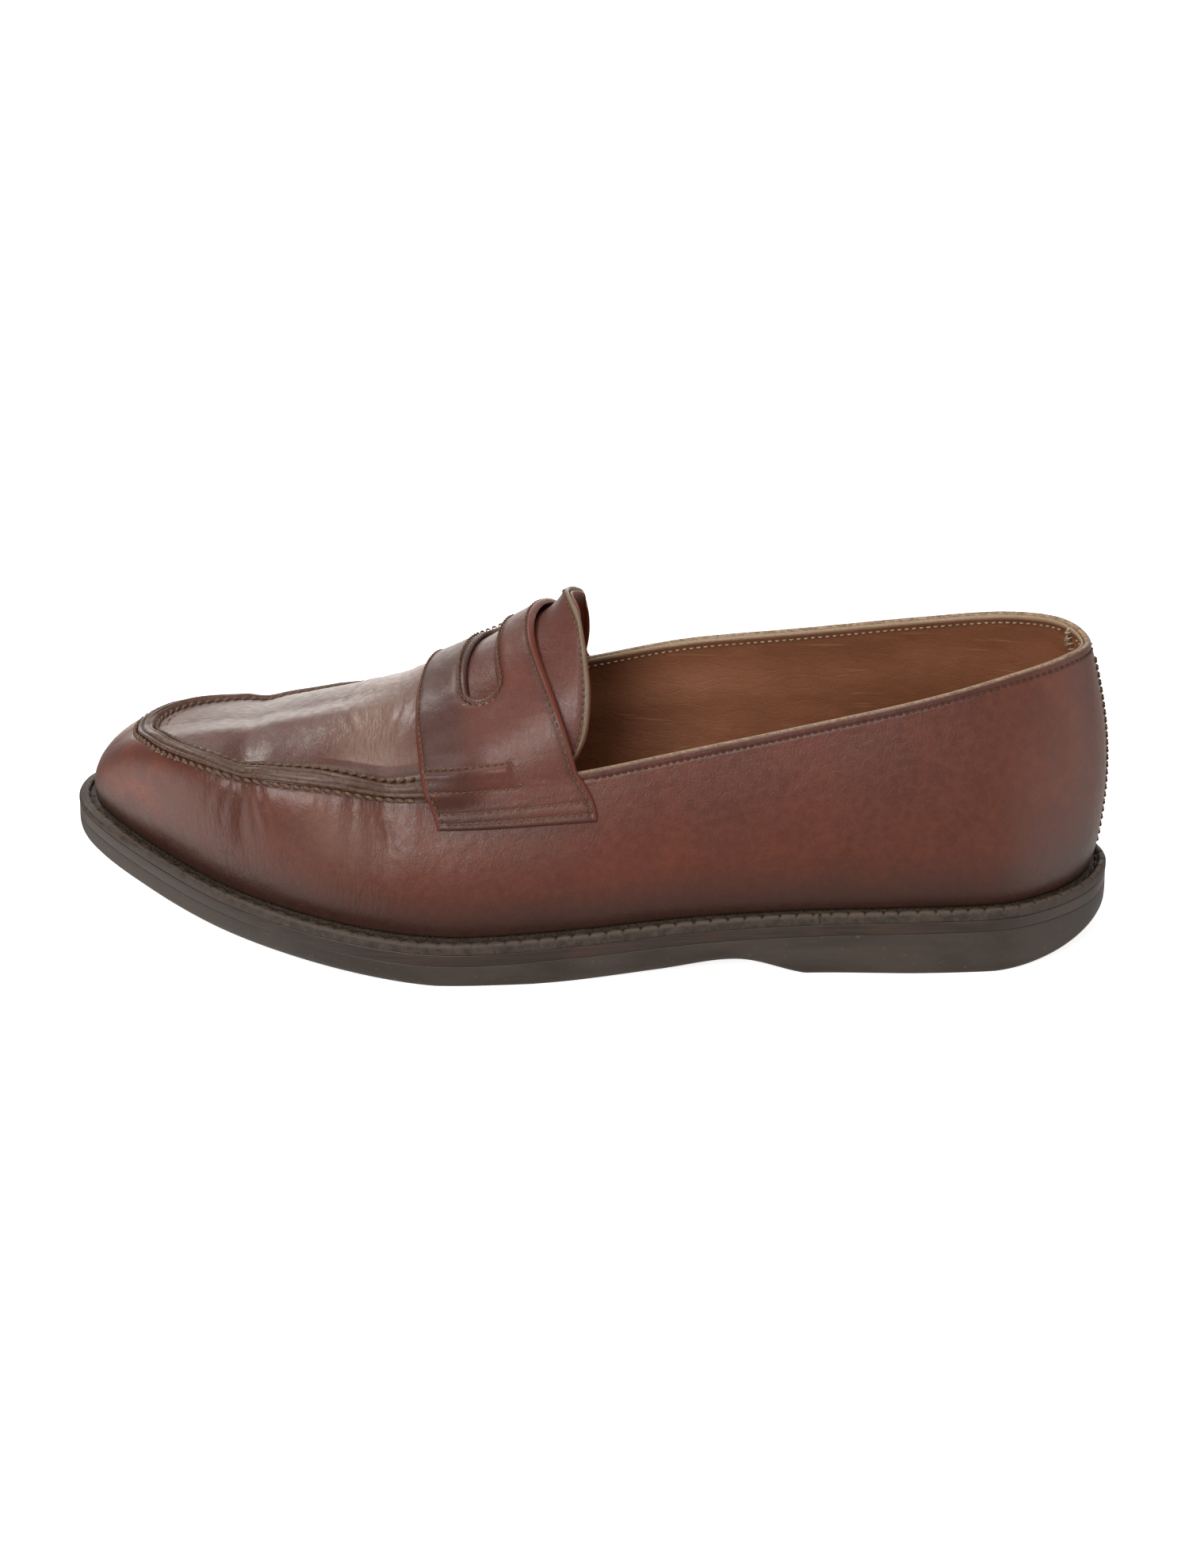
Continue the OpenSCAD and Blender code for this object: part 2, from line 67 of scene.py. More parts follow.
CREST = [(-129, 53.8), (-110, 56.5), (-92, 60), (-74, 63.5), (-56, 70), (-47, 72.5), (-38, 77), (-29, 82.5),
         (-20, 88), (-11, 94.3), (-4, 99.3)]
SHOULDER = [(-128, 0.3), (-90, 0.28), (-60, 0.2), (-40, 0.14), (0, 0.12)]
LOW_OUT = [(-146, 1.5), (-100, 2.5), (-40, 3), (40, 4), (100, 4.5), (146, 5.5)]
LOW_UP = [(-146, 0.5), (-60, 0.45), (60, 0.35), (146, 0.33)]
HIGH_OUT = [(-146, 6), (-110, 7), (-70, 5), (-40, 4), (60, 4.5), (146, 6.8)]
HIGH_DOWN = [(-146, 0.05), (-110, 0.1), (-70, 0.25), (-40, 0.33), (146, 0.33)]
STRAP_FRONT = (7.05, 0.31, 1.7)
STRAP_BACK = (5.77, 0.6, 2.0)
STRAP_REACH = (0.37, 0.31)
LINING_SEAM = 23.3
SPLIT = 0.6
TONGUE_BACK = 5.9
TONGUE_ROOT = 6.5
APRON_BACK = 6.58

WELT_T = 3.0
MIDSOLE_T = 3.5
UPPER_T = 1.6
LINING_T = 1.0
STRAP_T = 2.0
RIDGE_H = 1.5
SEAT = 0.05


def along(table, x):
    """Smooth curve through (x, value) pairs, flat past both ends."""
    t = np.array(table, float)
    xs, ys = t[:, 0], t[:, 1]
    x = np.clip(np.asarray(x, float), xs[0], xs[-1])
    m = np.empty(len(xs))
    m[1:-1] = (ys[2:] - ys[:-2]) / (xs[2:] - xs[:-2])
    m[0] = (ys[1] - ys[0]) / (xs[1] - xs[0])
    m[-1] = (ys[-1] - ys[-2]) / (xs[-1] - xs[-2])
    i = np.clip(np.searchsorted(xs, x, side="right") - 1, 0, len(xs) - 2)
    h = xs[i + 1] - xs[i]
    s = (x - xs[i]) / h
    return (ys[i] * (1 + 2 * s) * (1 - s) ** 2 + m[i] * h * s * (1 - s) ** 2
            + ys[i + 1] * s * s * (3 - 2 * s) + m[i + 1] * h * s * s * (s - 1))


def loop_at(points, t):
    """Smooth closed curve through points, one a station."""
    n = len(points)
    t = np.asarray(t, float) % n
    i = t.astype(int) % n
    s = (t - np.floor(t))[..., None]
    a, b, c, d = points[(i - 1) % n], points[i], points[(i + 1) % n], points[(i + 2) % n]
    return 0.5 * (2 * b + (c - a) * s + (2 * a - 5 * b + 4 * c - d) * s * s + (3 * b - a - 3 * c + d) * s ** 3)


def unit(v):
    return v / np.maximum(np.linalg.norm(v, axis=-1, keepdims=True), 1e-12)


def ease(x):
    c = np.clip(x, 0, 1)
    return c * c * (3 - 2 * c)


def bump(x, middle, width):
    """A smooth hump, 1 at the middle and near 0 a width away."""
    return np.exp(-((x - middle) / (0.5 * width)) ** 2)


def outward(t):
    g = loop_at(OUTLINE, np.asarray(t) + 0.02) - loop_at(OUTLINE, np.asarray(t) - 0.02)
    return unit(np.stack([-g[..., 1], g[..., 0]], -1))


def edge_point(t, inset):
    """(x, y) of the sole's edge moved inward."""
    return loop_at(OUTLINE, t) - np.asarray(inset)[..., None] * outward(t)


def bottom_point(t, inset, depth):
    p = edge_point(t, inset)
    return np.concatenate([p, (along(WELT_TOP, p[..., 0]) - depth)[..., None]], -1)


def underside_point(t, inset, rise):
    p = edge_point(t, inset)
    z = np.maximum(along(UNDERSIDE, p[..., 0]) + rise, 0)
    return np.concatenate([p, z[..., None]], -1)


def feather_inset(t):
    return along(WELT_SHOWS, loop_at(OUTLINE, t)[..., 0])


def bezier(a, b, c, d, s):
    return a * (1 - s) ** 3 + 3 * b * s * (1 - s) ** 2 + 3 * c * s * s * (1 - s) + d * s ** 3


def wall(t, v):
    """The upper's outer face, from the welt (v 0) to its top edge (v 1)."""
    t, v = np.broadcast_arrays(np.asarray(t, float), np.asarray(v, float))
    p = bottom_point(t, feather_inset(t), -SEAT)
    n = np.concatenate([outward(t), np.zeros(t.shape + (1,))], -1)
    top = loop_at(TOP_EDGE, t)
    rise = (top[..., 2] - p[..., 2])[..., None]
    x = p[..., 0]
    up = np.array([0, 0, 1.0])
    low = p + n * along(LOW_OUT, x)[..., None] + up * along(LOW_UP, x)[..., None] * rise
    high = top + n * along(HIGH_OUT, x)[..., None] - up * along(HIGH_DOWN, x)[..., None] * rise
    return bezier(p, low, high, top, v[..., None])


def arch(t, q):
    """The arch over the foot between stations t and 24 - t, from the outer side (q 0) to the inner (q 1)."""
    t, q = np.broadcast_arrays(np.asarray(t, float), np.asarray(q, float))
    a, b = loop_at(TOP_EDGE, t), loop_at(TOP_EDGE, STATIONS - t)
    middle = (a + b) / 2
    up = np.array([0, 0, 1.0]) * ((along(CREST, middle[..., 0]) - middle[..., 2]) / 0.75)[..., None]
    inward = (b - a) * along(SHOULDER, middle[..., 0])[..., None]
    return bezier(a, a + inward + up, b - inward + up, b, q[..., None])


def normal(f, t, v, e=0.02):
    t, v = np.broadcast_arrays(np.asarray(t, float), np.asarray(v, float))
    return unit(np.cross(f(t, v + e) - f(t, v - e), f(t + e, v) - f(t - e, v)))


def strap_edge(e, q):
    return e[0] + e[1] * np.cos(np.radians(90 * np.minimum(np.abs(q), 0.999))) ** e[2]


def strap_station(s, q):
    return strap_edge(STRAP_BACK, q) * (1 - s) + strap_edge(STRAP_FRONT, q) * s


def strap_base(s, q):
    """The surface under the strap: s from its back edge (0) to its front (1), q over the foot, -1 to 1."""
    s, q = np.broadcast_arrays(np.asarray(s, float), np.asarray(q, float))
    t = strap_station(s, q)
    reach = STRAP_REACH[0] * (1 - s) + STRAP_REACH[1] * s
    down = 1 - reach * (np.abs(q) - SPLIT) / (1 - SPLIT)
    on_wall = wall(np.where(q < 0, t, STATIONS - t), down)
    return np.where((np.abs(q) <= SPLIT)[..., None], arch(t, (q / SPLIT + 1) / 2), on_wall)


edge_samples = loop_at(OUTLINE, np.arange(STATIONS * 4) / 4)
CENTRING = np.array([*(-(edge_samples.max(0) + edge_samples.min(0)) / 2), 0])


# ---------------------------------------------------------------- helpers for meshes
def lattice_noise(points, size, seed):
    """Smooth noise from -1 to 1, in three dimensions, with features about size millimetres across."""
    rng = np.random.default_rng(seed)
    n = 32
    values = rng.uniform(-1, 1, (n, n, n))
    p = points / size + 1000.0
    i = np.floor(p).astype(int)
    f = p - i
    f = f * f * (3 - 2 * f)
    total = 0
    for corner in range(8):
        o = np.array([corner & 1, corner >> 1 & 1, corner >> 2 & 1])
        w = np.prod(np.where(o, f, 1 - f), axis=-1)
        k = (i + o) % n
        total = total + w * values[k[..., 0], k[..., 1], k[..., 2]]
    return total


def make_mesh(name, verts, faces, attributes=None):
    """A mesh object from points in millimetres; its faces are turned to face outward."""
    verts = np.asarray(verts, float).reshape(-1, 3)
    faces = [tuple(int(k) for k in f) for f in faces]
    tri = np.array([(f[0], f[i], f[i + 1]) for f in faces for i in range(1, len(f) - 1)])
    a, b, c = verts[tri[:, 0]], verts[tri[:, 1]], verts[tri[:, 2]]
    if np.einsum("ij,ij->i", np.cross(a, b), c).sum() < 0:
        faces = [f[::-1] for f in faces]
    mesh = bpy.data.meshes.new(name)
    mesh.from_pydata(((verts + CENTRING) * MM).tolist(), [], faces)
    mesh.polygons.foreach_set("use_smooth", [True] * len(mesh.polygons))
    for key, values in (attributes or {}).items():
        layer = mesh.attributes.new(key, "FLOAT", "POINT")
        layer.data.foreach_set("value", np.asarray(values, np.float32).ravel())
    mesh.validate()
    obj = bpy.data.objects.new(name, mesh)
    bpy.context.scene.collection.objects.link(obj)
    return obj


def grid_faces(nu, nv, closed_u=False, closed_v=False):
    i, j = np.meshgrid(np.arange(nu if closed_u else nu - 1), np.arange(nv if closed_v else nv - 1),
                       indexing="ij")
    i, j = i.ravel(), j.ravel()
    i2, j2 = (i + 1) % nu, (j + 1) % nv
    return np.stack([i * nv + j, i * nv + j2, i2 * nv + j2, i2 * nv + j], 1).tolist()


def strip_faces(rows, cells, at, flip):
    """Faces of a cap of strips: at gives the point at (row, cell); a cell drops a corner where two meet."""
    faces = []
    for a in range(rows):
        for k in range(cells):
            f = [at(a, k), at(a + 1, k), at(a + 1, k + 1), at(a, k + 1)]
            f = [v for m, v in enumerate(f) if v != f[m - 1]]
            if len(f) > 2:
                faces.append(f if flip else f[::-1])
    return faces


def loft(name, sections, closed=False, attributes=None):
    """A solid through a row of closed sections: an array (sections, points, 3)."""
    nu, nv = sections.shape[:2]
    faces = grid_faces(nu, nv, closed, True)
    if not closed:
        for base, flip in ((0, False), ((nu - 1) * nv, True)):
            for j in range(nv // 2 - 1):
                q = [base + j, base + j + 1, base + nv - 2 - j, base + nv - 1 - j]
                faces.append(q if flip else q[::-1])
    return make_mesh(name, sections, faces, attributes)


def plate(name, rings, cells, top_z, base_z):
    """A solid from a stack of closed rings (levels, points, 3), capped by strips across the foot.

    top_z and base_z give the heights of the points inside the first and the last ring.
    """
    levels, n = rings.shape[:2]
    half = n // 2
    verts = [rings.reshape(-1, 3)]
    faces = grid_faces(levels, n, False, True)
    share = np.arange(1, cells) / cells
    i = np.arange(1, half)
    base = levels * n
    for level, z_of, flip in ((0, top_z, False), (levels - 1, base_z, True)):
        ring = rings[level]
        inner = ring[i][:, None] * (1 - share)[None, :, None] + ring[n - i][:, None] * share[None, :, None]
        inner[..., 2] = z_of(inner)
        verts.append(inner.reshape(-1, 3))

        def at(a, k):
            if a in (0, half) or k == 0:
                return level * n + a
            return level * n + n - a if k == cells else base + (a - 1) * (cells - 1) + k - 1
        faces += strip_faces(half, cells, at, flip)
        base += (half - 1) * (cells - 1)
    return make_mesh(name, np.concatenate(verts), faces)


def masked_skin(name, outer, inner, keep, attributes=None, ids=None):
    """A skin from two grids of points: only the cells in keep are made, and every open border is closed.

    ids gives the same number to points that are one point.
    """
    nu, nv = outer.shape[:2]
    total = nu * nv
    ids = np.arange(total).reshape(nu, nv) if ids is None else ids
    faces = []
    edges = {}
    for i, j in zip(*np.nonzero(keep)):
        q = [ids[i, j], ids[i, j + 1], ids[i + 1, j + 1], ids[i + 1, j]]
        faces.append(q)
        faces.append([k + total for k in q[::-1]])
        for a, b in zip(q, q[1:] + q[:1]):
            if (b, a) in edges:
                del edges[(b, a)]
            else:
                edges[(a, b)] = True
    faces += [[b, a, a + total, b + total] for a, b in edges]
    verts = np.concatenate([outer.reshape(-1, 3), inner.reshape(-1, 3)])
    used = np.zeros(2 * total, bool)
    used[[k for f in faces for k in f]] = True
    renumber = np.cumsum(used) - 1
    faces = [[renumber[k] for k in f] for f in faces]
    data = {k: np.concatenate([a.ravel(), a.ravel()])[used] for k, a in (attributes or {}).items()}
    return make_mesh(name, verts[used], faces, data)


def arc_length(points):
    """Distance along each row of points."""
    step = np.linalg.norm(np.diff(points, axis=-2), axis=-1)
    zero = np.zeros(step.shape[:-1] + (1,))
    return np.concatenate([zero, np.cumsum(step, -1)], -1)


def stitches(name, starts, ends, normals, radius, height):
    """A row of thread stitches, each a short arched strand that dives into the leather at both ends."""
    sunk, rings, sides = 0.25, 7, 8
    k = np.linspace(0, 1, rings)
    lift = (height + sunk) * np.sin(np.pi * k) ** 0.6 - sunk
    thick = radius * (0.55 + 0.45 * np.sin(np.pi * k) ** 0.5)
    way = unit(ends - starts)
    side = unit(np.cross(way, normals))
    up = np.cross(side, way)
    centre = starts[:, None] + (ends - starts)[:, None] * k[None, :, None] + up[:, None] * lift[None, :, None]
    a = np.arange(sides) * 2 * np.pi / sides
    around, above = np.cos(a)[None, None, :, None], np.sin(a)[None, None, :, None]
    ring = side[:, None, None] * around + up[:, None, None] * above
    points = centre[:, :, None] + ring * thick[None, :, None, None]
    one = grid_faces(rings, sides, False, True)
    one += [list(range(sides)), list(range((rings - 1) * sides, rings * sides))[::-1]]
    one = np.array(one, dtype=object)
    faces = []
    for m in range(len(starts)):
        faces += [[v + m * rings * sides for v in f] for f in one]
    return make_mesh(name, points.reshape(-1, 3), faces)


def spaced(curve, lo, hi, pitch):
    """Parameters along a curve, an equal distance apart, close to the pitch."""
    fine = np.linspace(lo, hi, 2000)
    d = arc_length(curve(fine))
    count = max(2, int(round(d[-1] / pitch)))
    return np.interp(np.linspace(0, d[-1], count + 1), d, fine)


def stitch_row(curve, lo, hi, pitch, share=0.72):
    """Starts, ends and directions of the stitches along a curve, which gives (points, directions)."""
    k = spaced(lambda s: curve(s)[0], lo, hi, pitch)
    pa, na = curve(k[:-1])
    pb, nb = curve(k[:-1] + np.diff(k) * share)
    return pa, pb, unit(na + nb)


def sew(name, rows, radius, height, lift=0.0):
    """One piece of thread from rows of stitches, moved off the leather by lift."""
    starts, ends, normals = (np.concatenate(column) for column in zip(*rows))
    return stitches(name, starts + normals * lift, ends + normals * lift, normals, radius, height)


# ---------------------------------------------------------------- materials
def srgb(r, g, b):
    """A linear colour from 0-255 screen values."""
    def one(c):
        c /= 255
        return c / 12.92 if c <= 0.04045 else ((c + 0.055) / 1.055) ** 2.4
    return one(r), one(g), one(b), 1.0


# Places of the colour sockets on a Mix node, which has three sockets of each name
MIX_COLOUR_A, MIX_COLOUR_B, MIX_COLOUR_OUT = 6, 7, 2


class Nodes:
    """A short way to write one material's node tree."""

    def __init__(self, name):
        self.material = bpy.data.materials.new(name)
        self.material.use_nodes = True
        self.tree = self.material.node_tree
        self.shader = self.tree.nodes["Principled BSDF"]
        self.place = self.add("ShaderNodeTexCoord").outputs["Object"]

    def add(self, kind, **settings):
        node = self.tree.nodes.new(kind)
        for key, value in settings.items():
            setattr(node, key, value)
        return node

    def link(self, value, socket):
        if isinstance(value, bpy.types.NodeSocket):
            self.tree.links.new(value, socket)
        else:
            socket.default_value = value

    def texture(self, kind, scale, stretch, seed=0.0, **settings):
        """A texture on the object's own coordinates; scale is in features a metre."""
        mapping = self.add("ShaderNodeMapping")
        mapping.inputs["Scale"].default_value = stretch
        mapping.inputs["Location"].default_value = (seed, seed * 0.7, seed * 1.3)
        self.link(self.place, mapping.inputs["Vector"])
        node = self.add(kind, **settings)
        self.link(mapping.outputs[0], node.inputs["Vector"])
        node.inputs["Scale"].default_value = scale
        return node

    def noise(self, scale, detail, rough, stretch=(1, 1, 1), warp=0.0, seed=0.0):
        """Fractal noise of 0..1."""
        node = self.texture("ShaderNodeTexNoise", scale, stretch, seed)
        node.inputs["Detail"].default_value = detail
        node.inputs["Roughness"].default_value = rough
        node.inputs["Distortion"].default_value = warp
        return node.outputs["Fac"]

    def cells(self, scale, feature="F1", stretch=(1, 1, 1)):
        return self.texture("ShaderNodeTexVoronoi", scale, stretch, feature=feature).outputs["Distance"]

    def attribute(self, name):
        return self.add("ShaderNodeAttribute", attribute_name=name).outputs["Fac"]

    def math(self, operation, a, b, clamp=False):
        node = self.add("ShaderNodeMath", operation=operation, use_clamp=clamp)
        self.link(a, node.inputs[0])
        self.link(b, node.inputs[1])
        return node.outputs[0]

    def span(self, value, low, high, out_low=0.0, out_high=1.0):
        """The value's place between low and high, eased, from out_low to out_high."""
        node = self.add("ShaderNodeMapRange", interpolation_type="SMOOTHSTEP")
        for key, v in (("Value", value), ("From Min", low), ("From Max", high), ("To Min", out_low),
                       ("To Max", out_high)):
            self.link(v, node.inputs[key])
        return node.outputs["Result"]

    def mix(self, share, a, b):
        """Colour a turned towards colour b by share."""
        node = self.add("ShaderNodeMix", data_type="RGBA")
        self.link(share, node.inputs["Factor"])
        self.link(a, node.inputs[MIX_COLOUR_A])
        self.link(b, node.inputs[MIX_COLOUR_B])
        return node.outputs[MIX_COLOUR_OUT]

    def tints(self, colour, *steps):
        """The colour after each (share, amount, other) in turn; a share may be an attribute's name."""
        for share, amount, other in steps:
            share = self.attribute(share) if isinstance(share, str) else share
            colour = self.mix(self.math("MULTIPLY", share, amount), colour, other)
        return colour

    def bumps(self, layers):
        """Bump from (height, distance in mm) layers, coarse to fine."""
        out = None
        for height, distance in layers:
            node = self.add("ShaderNodeBump")
            node.inputs["Strength"].default_value = 1.0
            node.inputs["Distance"].default_value = distance * MM
            self.link(height, node.inputs["Height"])
            if out is not None:
                self.link(out, node.inputs["Normal"])
            out = node.outputs[0]
        self.link(out, self.shader.inputs["Normal"])

    def finish(self, colour, roughness, **sockets):
        self.link(colour, self.shader.inputs["Base Color"])
        self.link(roughness, self.shader.inputs["Roughness"])
        for key, value in sockets.items():
            self.shader.inputs[key.replace("_", " ")].default_value = value
        return self.material


# ---------------------------------------------------------------- wear that bends the leather
# Creases of the forefoot: (x where it starts, lean, top and bottom share of the wall, depth, width), in mm
WALL_CREASES = [(-103, -0.18, 0.99, 0.45, 0.35, 1.1), (-100.5, -0.1, 0.99, 0.35, 0.45, 1.2),
                (-97.5, 0.02, 1.0, 0.3, 0.6, 1.5), (-95, 0.1, 0.99, 0.4, 0.45, 1.2),
                (-92.5, 0.2, 0.97, 0.5, 0.3, 1.1), (-64, -0.1, 1.0, 0.35, 0.5, 1.6),
                (-61, 0.04, 0.98, 0.45, 0.4, 1.4), (-58, 0.16, 0.97, 0.5, 0.3, 1.3),
                (-112, -0.25, 0.9, 0.5, 0.2, 1.2), (-80, 0.05, 0.9, 0.5, 0.2, 1.5)]
# Creases across the apron: (x at the middle, bend, reach to each side, depth, width)
APRON_CREASES = [(-70, 0.0104, 30, 0.4, 1.0), (-68, 0.009, 32, 0.3, 0.9), (-65.5, 0.0068, 31, 0.4, 1.0),
                 (-62.5, 0.0044, 28, 0.25, 1.0), (-56, -0.0008, 26, 0.25, 1.1), (-52.5, -0.0036, 31, 0.35, 1.0),
                 (-50, -0.0056, 30, 0.3, 1.0), (-97, 0.003, 15, 0.2, 1.2), (-92, 0.001, 20, 0.2, 1.3)]
# Dips where the raised seam gives at the two flex lines: (x, depth, width)
SEAM_DIPS = [(-96.5, 0.9, 9), (-56.5, 0.9, 10), (-77, -0.45, 16), (-113, -0.4, 15)]


def crease(offset, depth, width):
    """A groove with a low swell on both sides."""
    u = offset / width
    return 0.6 * depth * (-np.exp(-u * u) + 0.35 * np.exp(-(np.abs(u) - 2.1) ** 2))


def wall_creases(p, v):
    """Height in mm of the forefoot's creases at points of the wall, v of the way up."""
    total = np.zeros(v.shape)
    wobble = lattice_noise(p, 7.0, 3) * 0.9 + lattice_noise(p, 2.5, 4) * 0.25
    for n, (x, lean, top, low, depth, width) in enumerate(WALL_CREASES):
        side_shift = np.where(p[..., 1] > 0, 2.5 * math.sin(7 * n), 0)
        offset = p[..., 0] - x - side_shift - lean * (1 - v) * 40 + wobble
        fade = ease((v - low) / 0.18) * ease((top + 0.04 - v) / 0.06)
        total += crease(offset, depth, width) * fade
    return total


def apron_creases(p, share):
    """Height in mm of the creases at points of the apron, share of the way across the foot (0 to 1)."""
    total = np.zeros(share.shape)
    wobble = lattice_noise(p, 9.0, 5) * 0.9 + lattice_noise(p, 3.0, 6) * 0.3
    y = p[..., 1] - 1
    for x, bend, reach, depth, width in APRON_CREASES:
        offset = p[..., 0] - x - bend * y * y + wobble
        fade = ease((reach - np.abs(y - 2)) / 10)
        total += crease(offset, depth, width) * fade
    return total * ease(np.minimum(share, 1 - share) / 0.09)


def soft_dents(p):
    """Low unevenness of the whole upper, and the dips at the flex lines, in mm."""
    flex = ease((-48 - p[..., 0]) / 10) * ease((p[..., 0] + 112) / 12)
    total = 0.25 * lattice_noise(p, 19.0, 7) + flex * 0.14 * lattice_noise(p, 9.0, 8)
    high = ease((p[..., 2] - 26) / 16)
    for x, depth, width in SEAM_DIPS:
        total = total - depth * high * bump(p[..., 0], x, width) * ease((-40 - p[..., 0]) / 4)
    return total


def seam_rise(p):
    """How far the outer side's seam stands above its even curve, in mm."""
    rise = 2.4 * ease((6 - p[..., 1]) / 18) * ease((p[..., 2] - 34) / 14) * ease((-50 - p[..., 0]) / 26)
    return np.stack([0 * rise, 0 * rise, rise], -1)


# ---------------------------------------------------------------- the upper's surfaces, with their wear
def rim_speed(t, e=0.01):
    """How many millimetres of wall there are for each unit of v, near its top edge."""
    v = np.full(np.shape(t), 0.98)
    return np.linalg.norm(wall(t, v + e) - wall(t, v - e), axis=-1) / (2 * e)


def seam_normal(t):
    """Halfway between the wall's and the arch's own directions, at the top edge."""
    near = np.minimum(t, STATIONS - t)
    q = np.where(t <= TOE, 0.004, 0.996)
    s = np.minimum(near, TOE - 0.15)
    return unit(normal(wall, t, np.full(np.shape(t), 1.0)) + normal(arch, s, q))


def seamed(t):
    """How much of the raised seam is there: none under the strap, all of it from its front edge on."""
    return ease((np.minimum(t, STATIONS - t) - 6.75) / 0.3)


def wall_frame(t, v):
    """Points and directions of the worn wall; near the apron seam it turns to the seam's direction."""
    t, v = np.broadcast_arrays(np.asarray(t, float), np.asarray(v, float))
    p = wall(t, v)
    n = normal(wall, t, np.minimum(v, 1.0))
    below = (1 - v) * rim_speed(t)
    turn = (seamed(t) * (1 - ease(below / 2.2)))[..., None]
    n = unit(n * (1 - turn) + seam_normal(t) * turn)
    front = ease((np.minimum(t, STATIONS - t) - 5.5) / 1.2)
    h = soft_dents(p) * ease(v / 0.12) + wall_creases(p, v) * front
    rim = 1 - (1 - seamed(t)) * ease((v - 0.8) / 0.2) * 0.8
    return p + seam_rise(p) + n * (h * rim)[..., None], n


def wall_at(t, v, d):
    p, n = wall_frame(t, v)
    return p + n * np.asarray(d)[..., None]


def plan_inward(t):
    """Horizontal direction from the top edge towards the middle of the foot."""
    g = loop_at(TOP_EDGE, t + 0.05) - loop_at(TOP_EDGE, t - 0.05)
    return unit(np.stack([g[..., 1], -g[..., 0]], -1))


def find_on_arch(xy, t, q):
    """Stations and shares (t, q) at which the arch stands over the given (x, y), from a first guess."""
    e = 1e-3
    for _ in range(14):
        here = arch(t, q)[..., :2] - xy
        by_t = (arch(t + e, q) - arch(t - e, q))[..., :2] / (2 * e)
        by_q = (arch(t, q + e) - arch(t, q - e))[..., :2] / (2 * e)
        det = by_t[..., 0] * by_q[..., 1] - by_t[..., 1] * by_q[..., 0]
        det = np.where(np.abs(det) < 1e-6, 1e-6, det)
        dt = (here[..., 0] * by_q[..., 1] - here[..., 1] * by_q[..., 0]) / det
        dq = (by_t[..., 0] * here[..., 1] - by_t[..., 1] * here[..., 0]) / det
        t = np.clip(t - np.clip(dt, -0.15, 0.15), 6.0, TOE - 0.01)
        q = np.clip(q - np.clip(dq, -0.15, 0.15), -0.1, 1.1)
    return t, q


def arch_frame(t, q):
    """Points and directions of the worn arch."""
    p = arch(t, q)
    n = normal(arch, np.minimum(t, TOE - 0.12), q)
    return p + seam_rise(p) + n * (soft_dents(p) + apron_creases(p, q))[..., None], n


def seam_narrow(t):
    """The raised seam narrows as it runs back to the strap."""
    return 0.48 + 0.52 * ease((np.minimum(t, STATIONS - t) - 7.35) / 1.1)


def seam_spot(t, s):
    """(t, q) on the arch at a distance s inward of the top edge at station t."""
    t, s = np.broadcast_arrays(np.asarray(t, float), np.asarray(s, float))
    xy = loop_at(TOP_EDGE, t)[..., :2] + plan_inward(t) * s[..., None]
    near = np.minimum(t, STATIONS - t)
    width = np.linalg.norm(loop_at(TOP_EDGE, near) - loop_at(TOP_EDGE, STATIONS - near), axis=-1)
    q = np.clip(s / np.maximum(width, 1), 0, 0.5)
    return find_on_arch(xy, np.minimum(near, 11.6), np.where(t <= TOE, q, 1 - q))


def across_seam(t, s):
    """Points and directions a distance s across the apron seam: on the wall if s < 0, else on the apron."""
    t, s = np.broadcast_arrays(np.asarray(t, float), np.asarray(s, float))
    v = 1 + np.minimum(s, 0) / rim_speed(t)
    on_wall, wall_n = wall_frame(t, v)
    inside = np.maximum(s, 0.02)
    at, aq = seam_spot(t, inside)
    on_arch, arch_n = arch_frame(at, aq)
    turn = ease(np.abs(s) / 2.2)[..., None]
    n = unit(np.where((s < 0)[..., None], wall_n, seam_normal(t) * (1 - turn) + arch_n * turn))
    return np.where((s < 0)[..., None], on_wall, on_arch), n


# ---------------------------------------------------------------- the bottom of the shoe
def even_stations(count):
    """Stations round the sole's edge, an equal distance apart, from the middle of the heel."""
    fine = np.linspace(0, STATIONS, 4001)
    d = arc_length(edge_point(fine, np.zeros(fine.shape)))
    return np.interp(np.arange(count) / count * d[-1], d, fine)


def edge_distances(t):
    """Distance in mm round the sole's edge at each of these even stations."""
    return np.arange(len(t)) / len(t) * arc_length(edge_point(t, np.zeros(t.shape)))[-1]


def bottom_rings(t, profile):
    """Rings round the sole from (inset, depth below the welt's top) pairs."""
    return np.stack([bottom_point(t, np.full(t.shape, i), d) for i, d in profile])


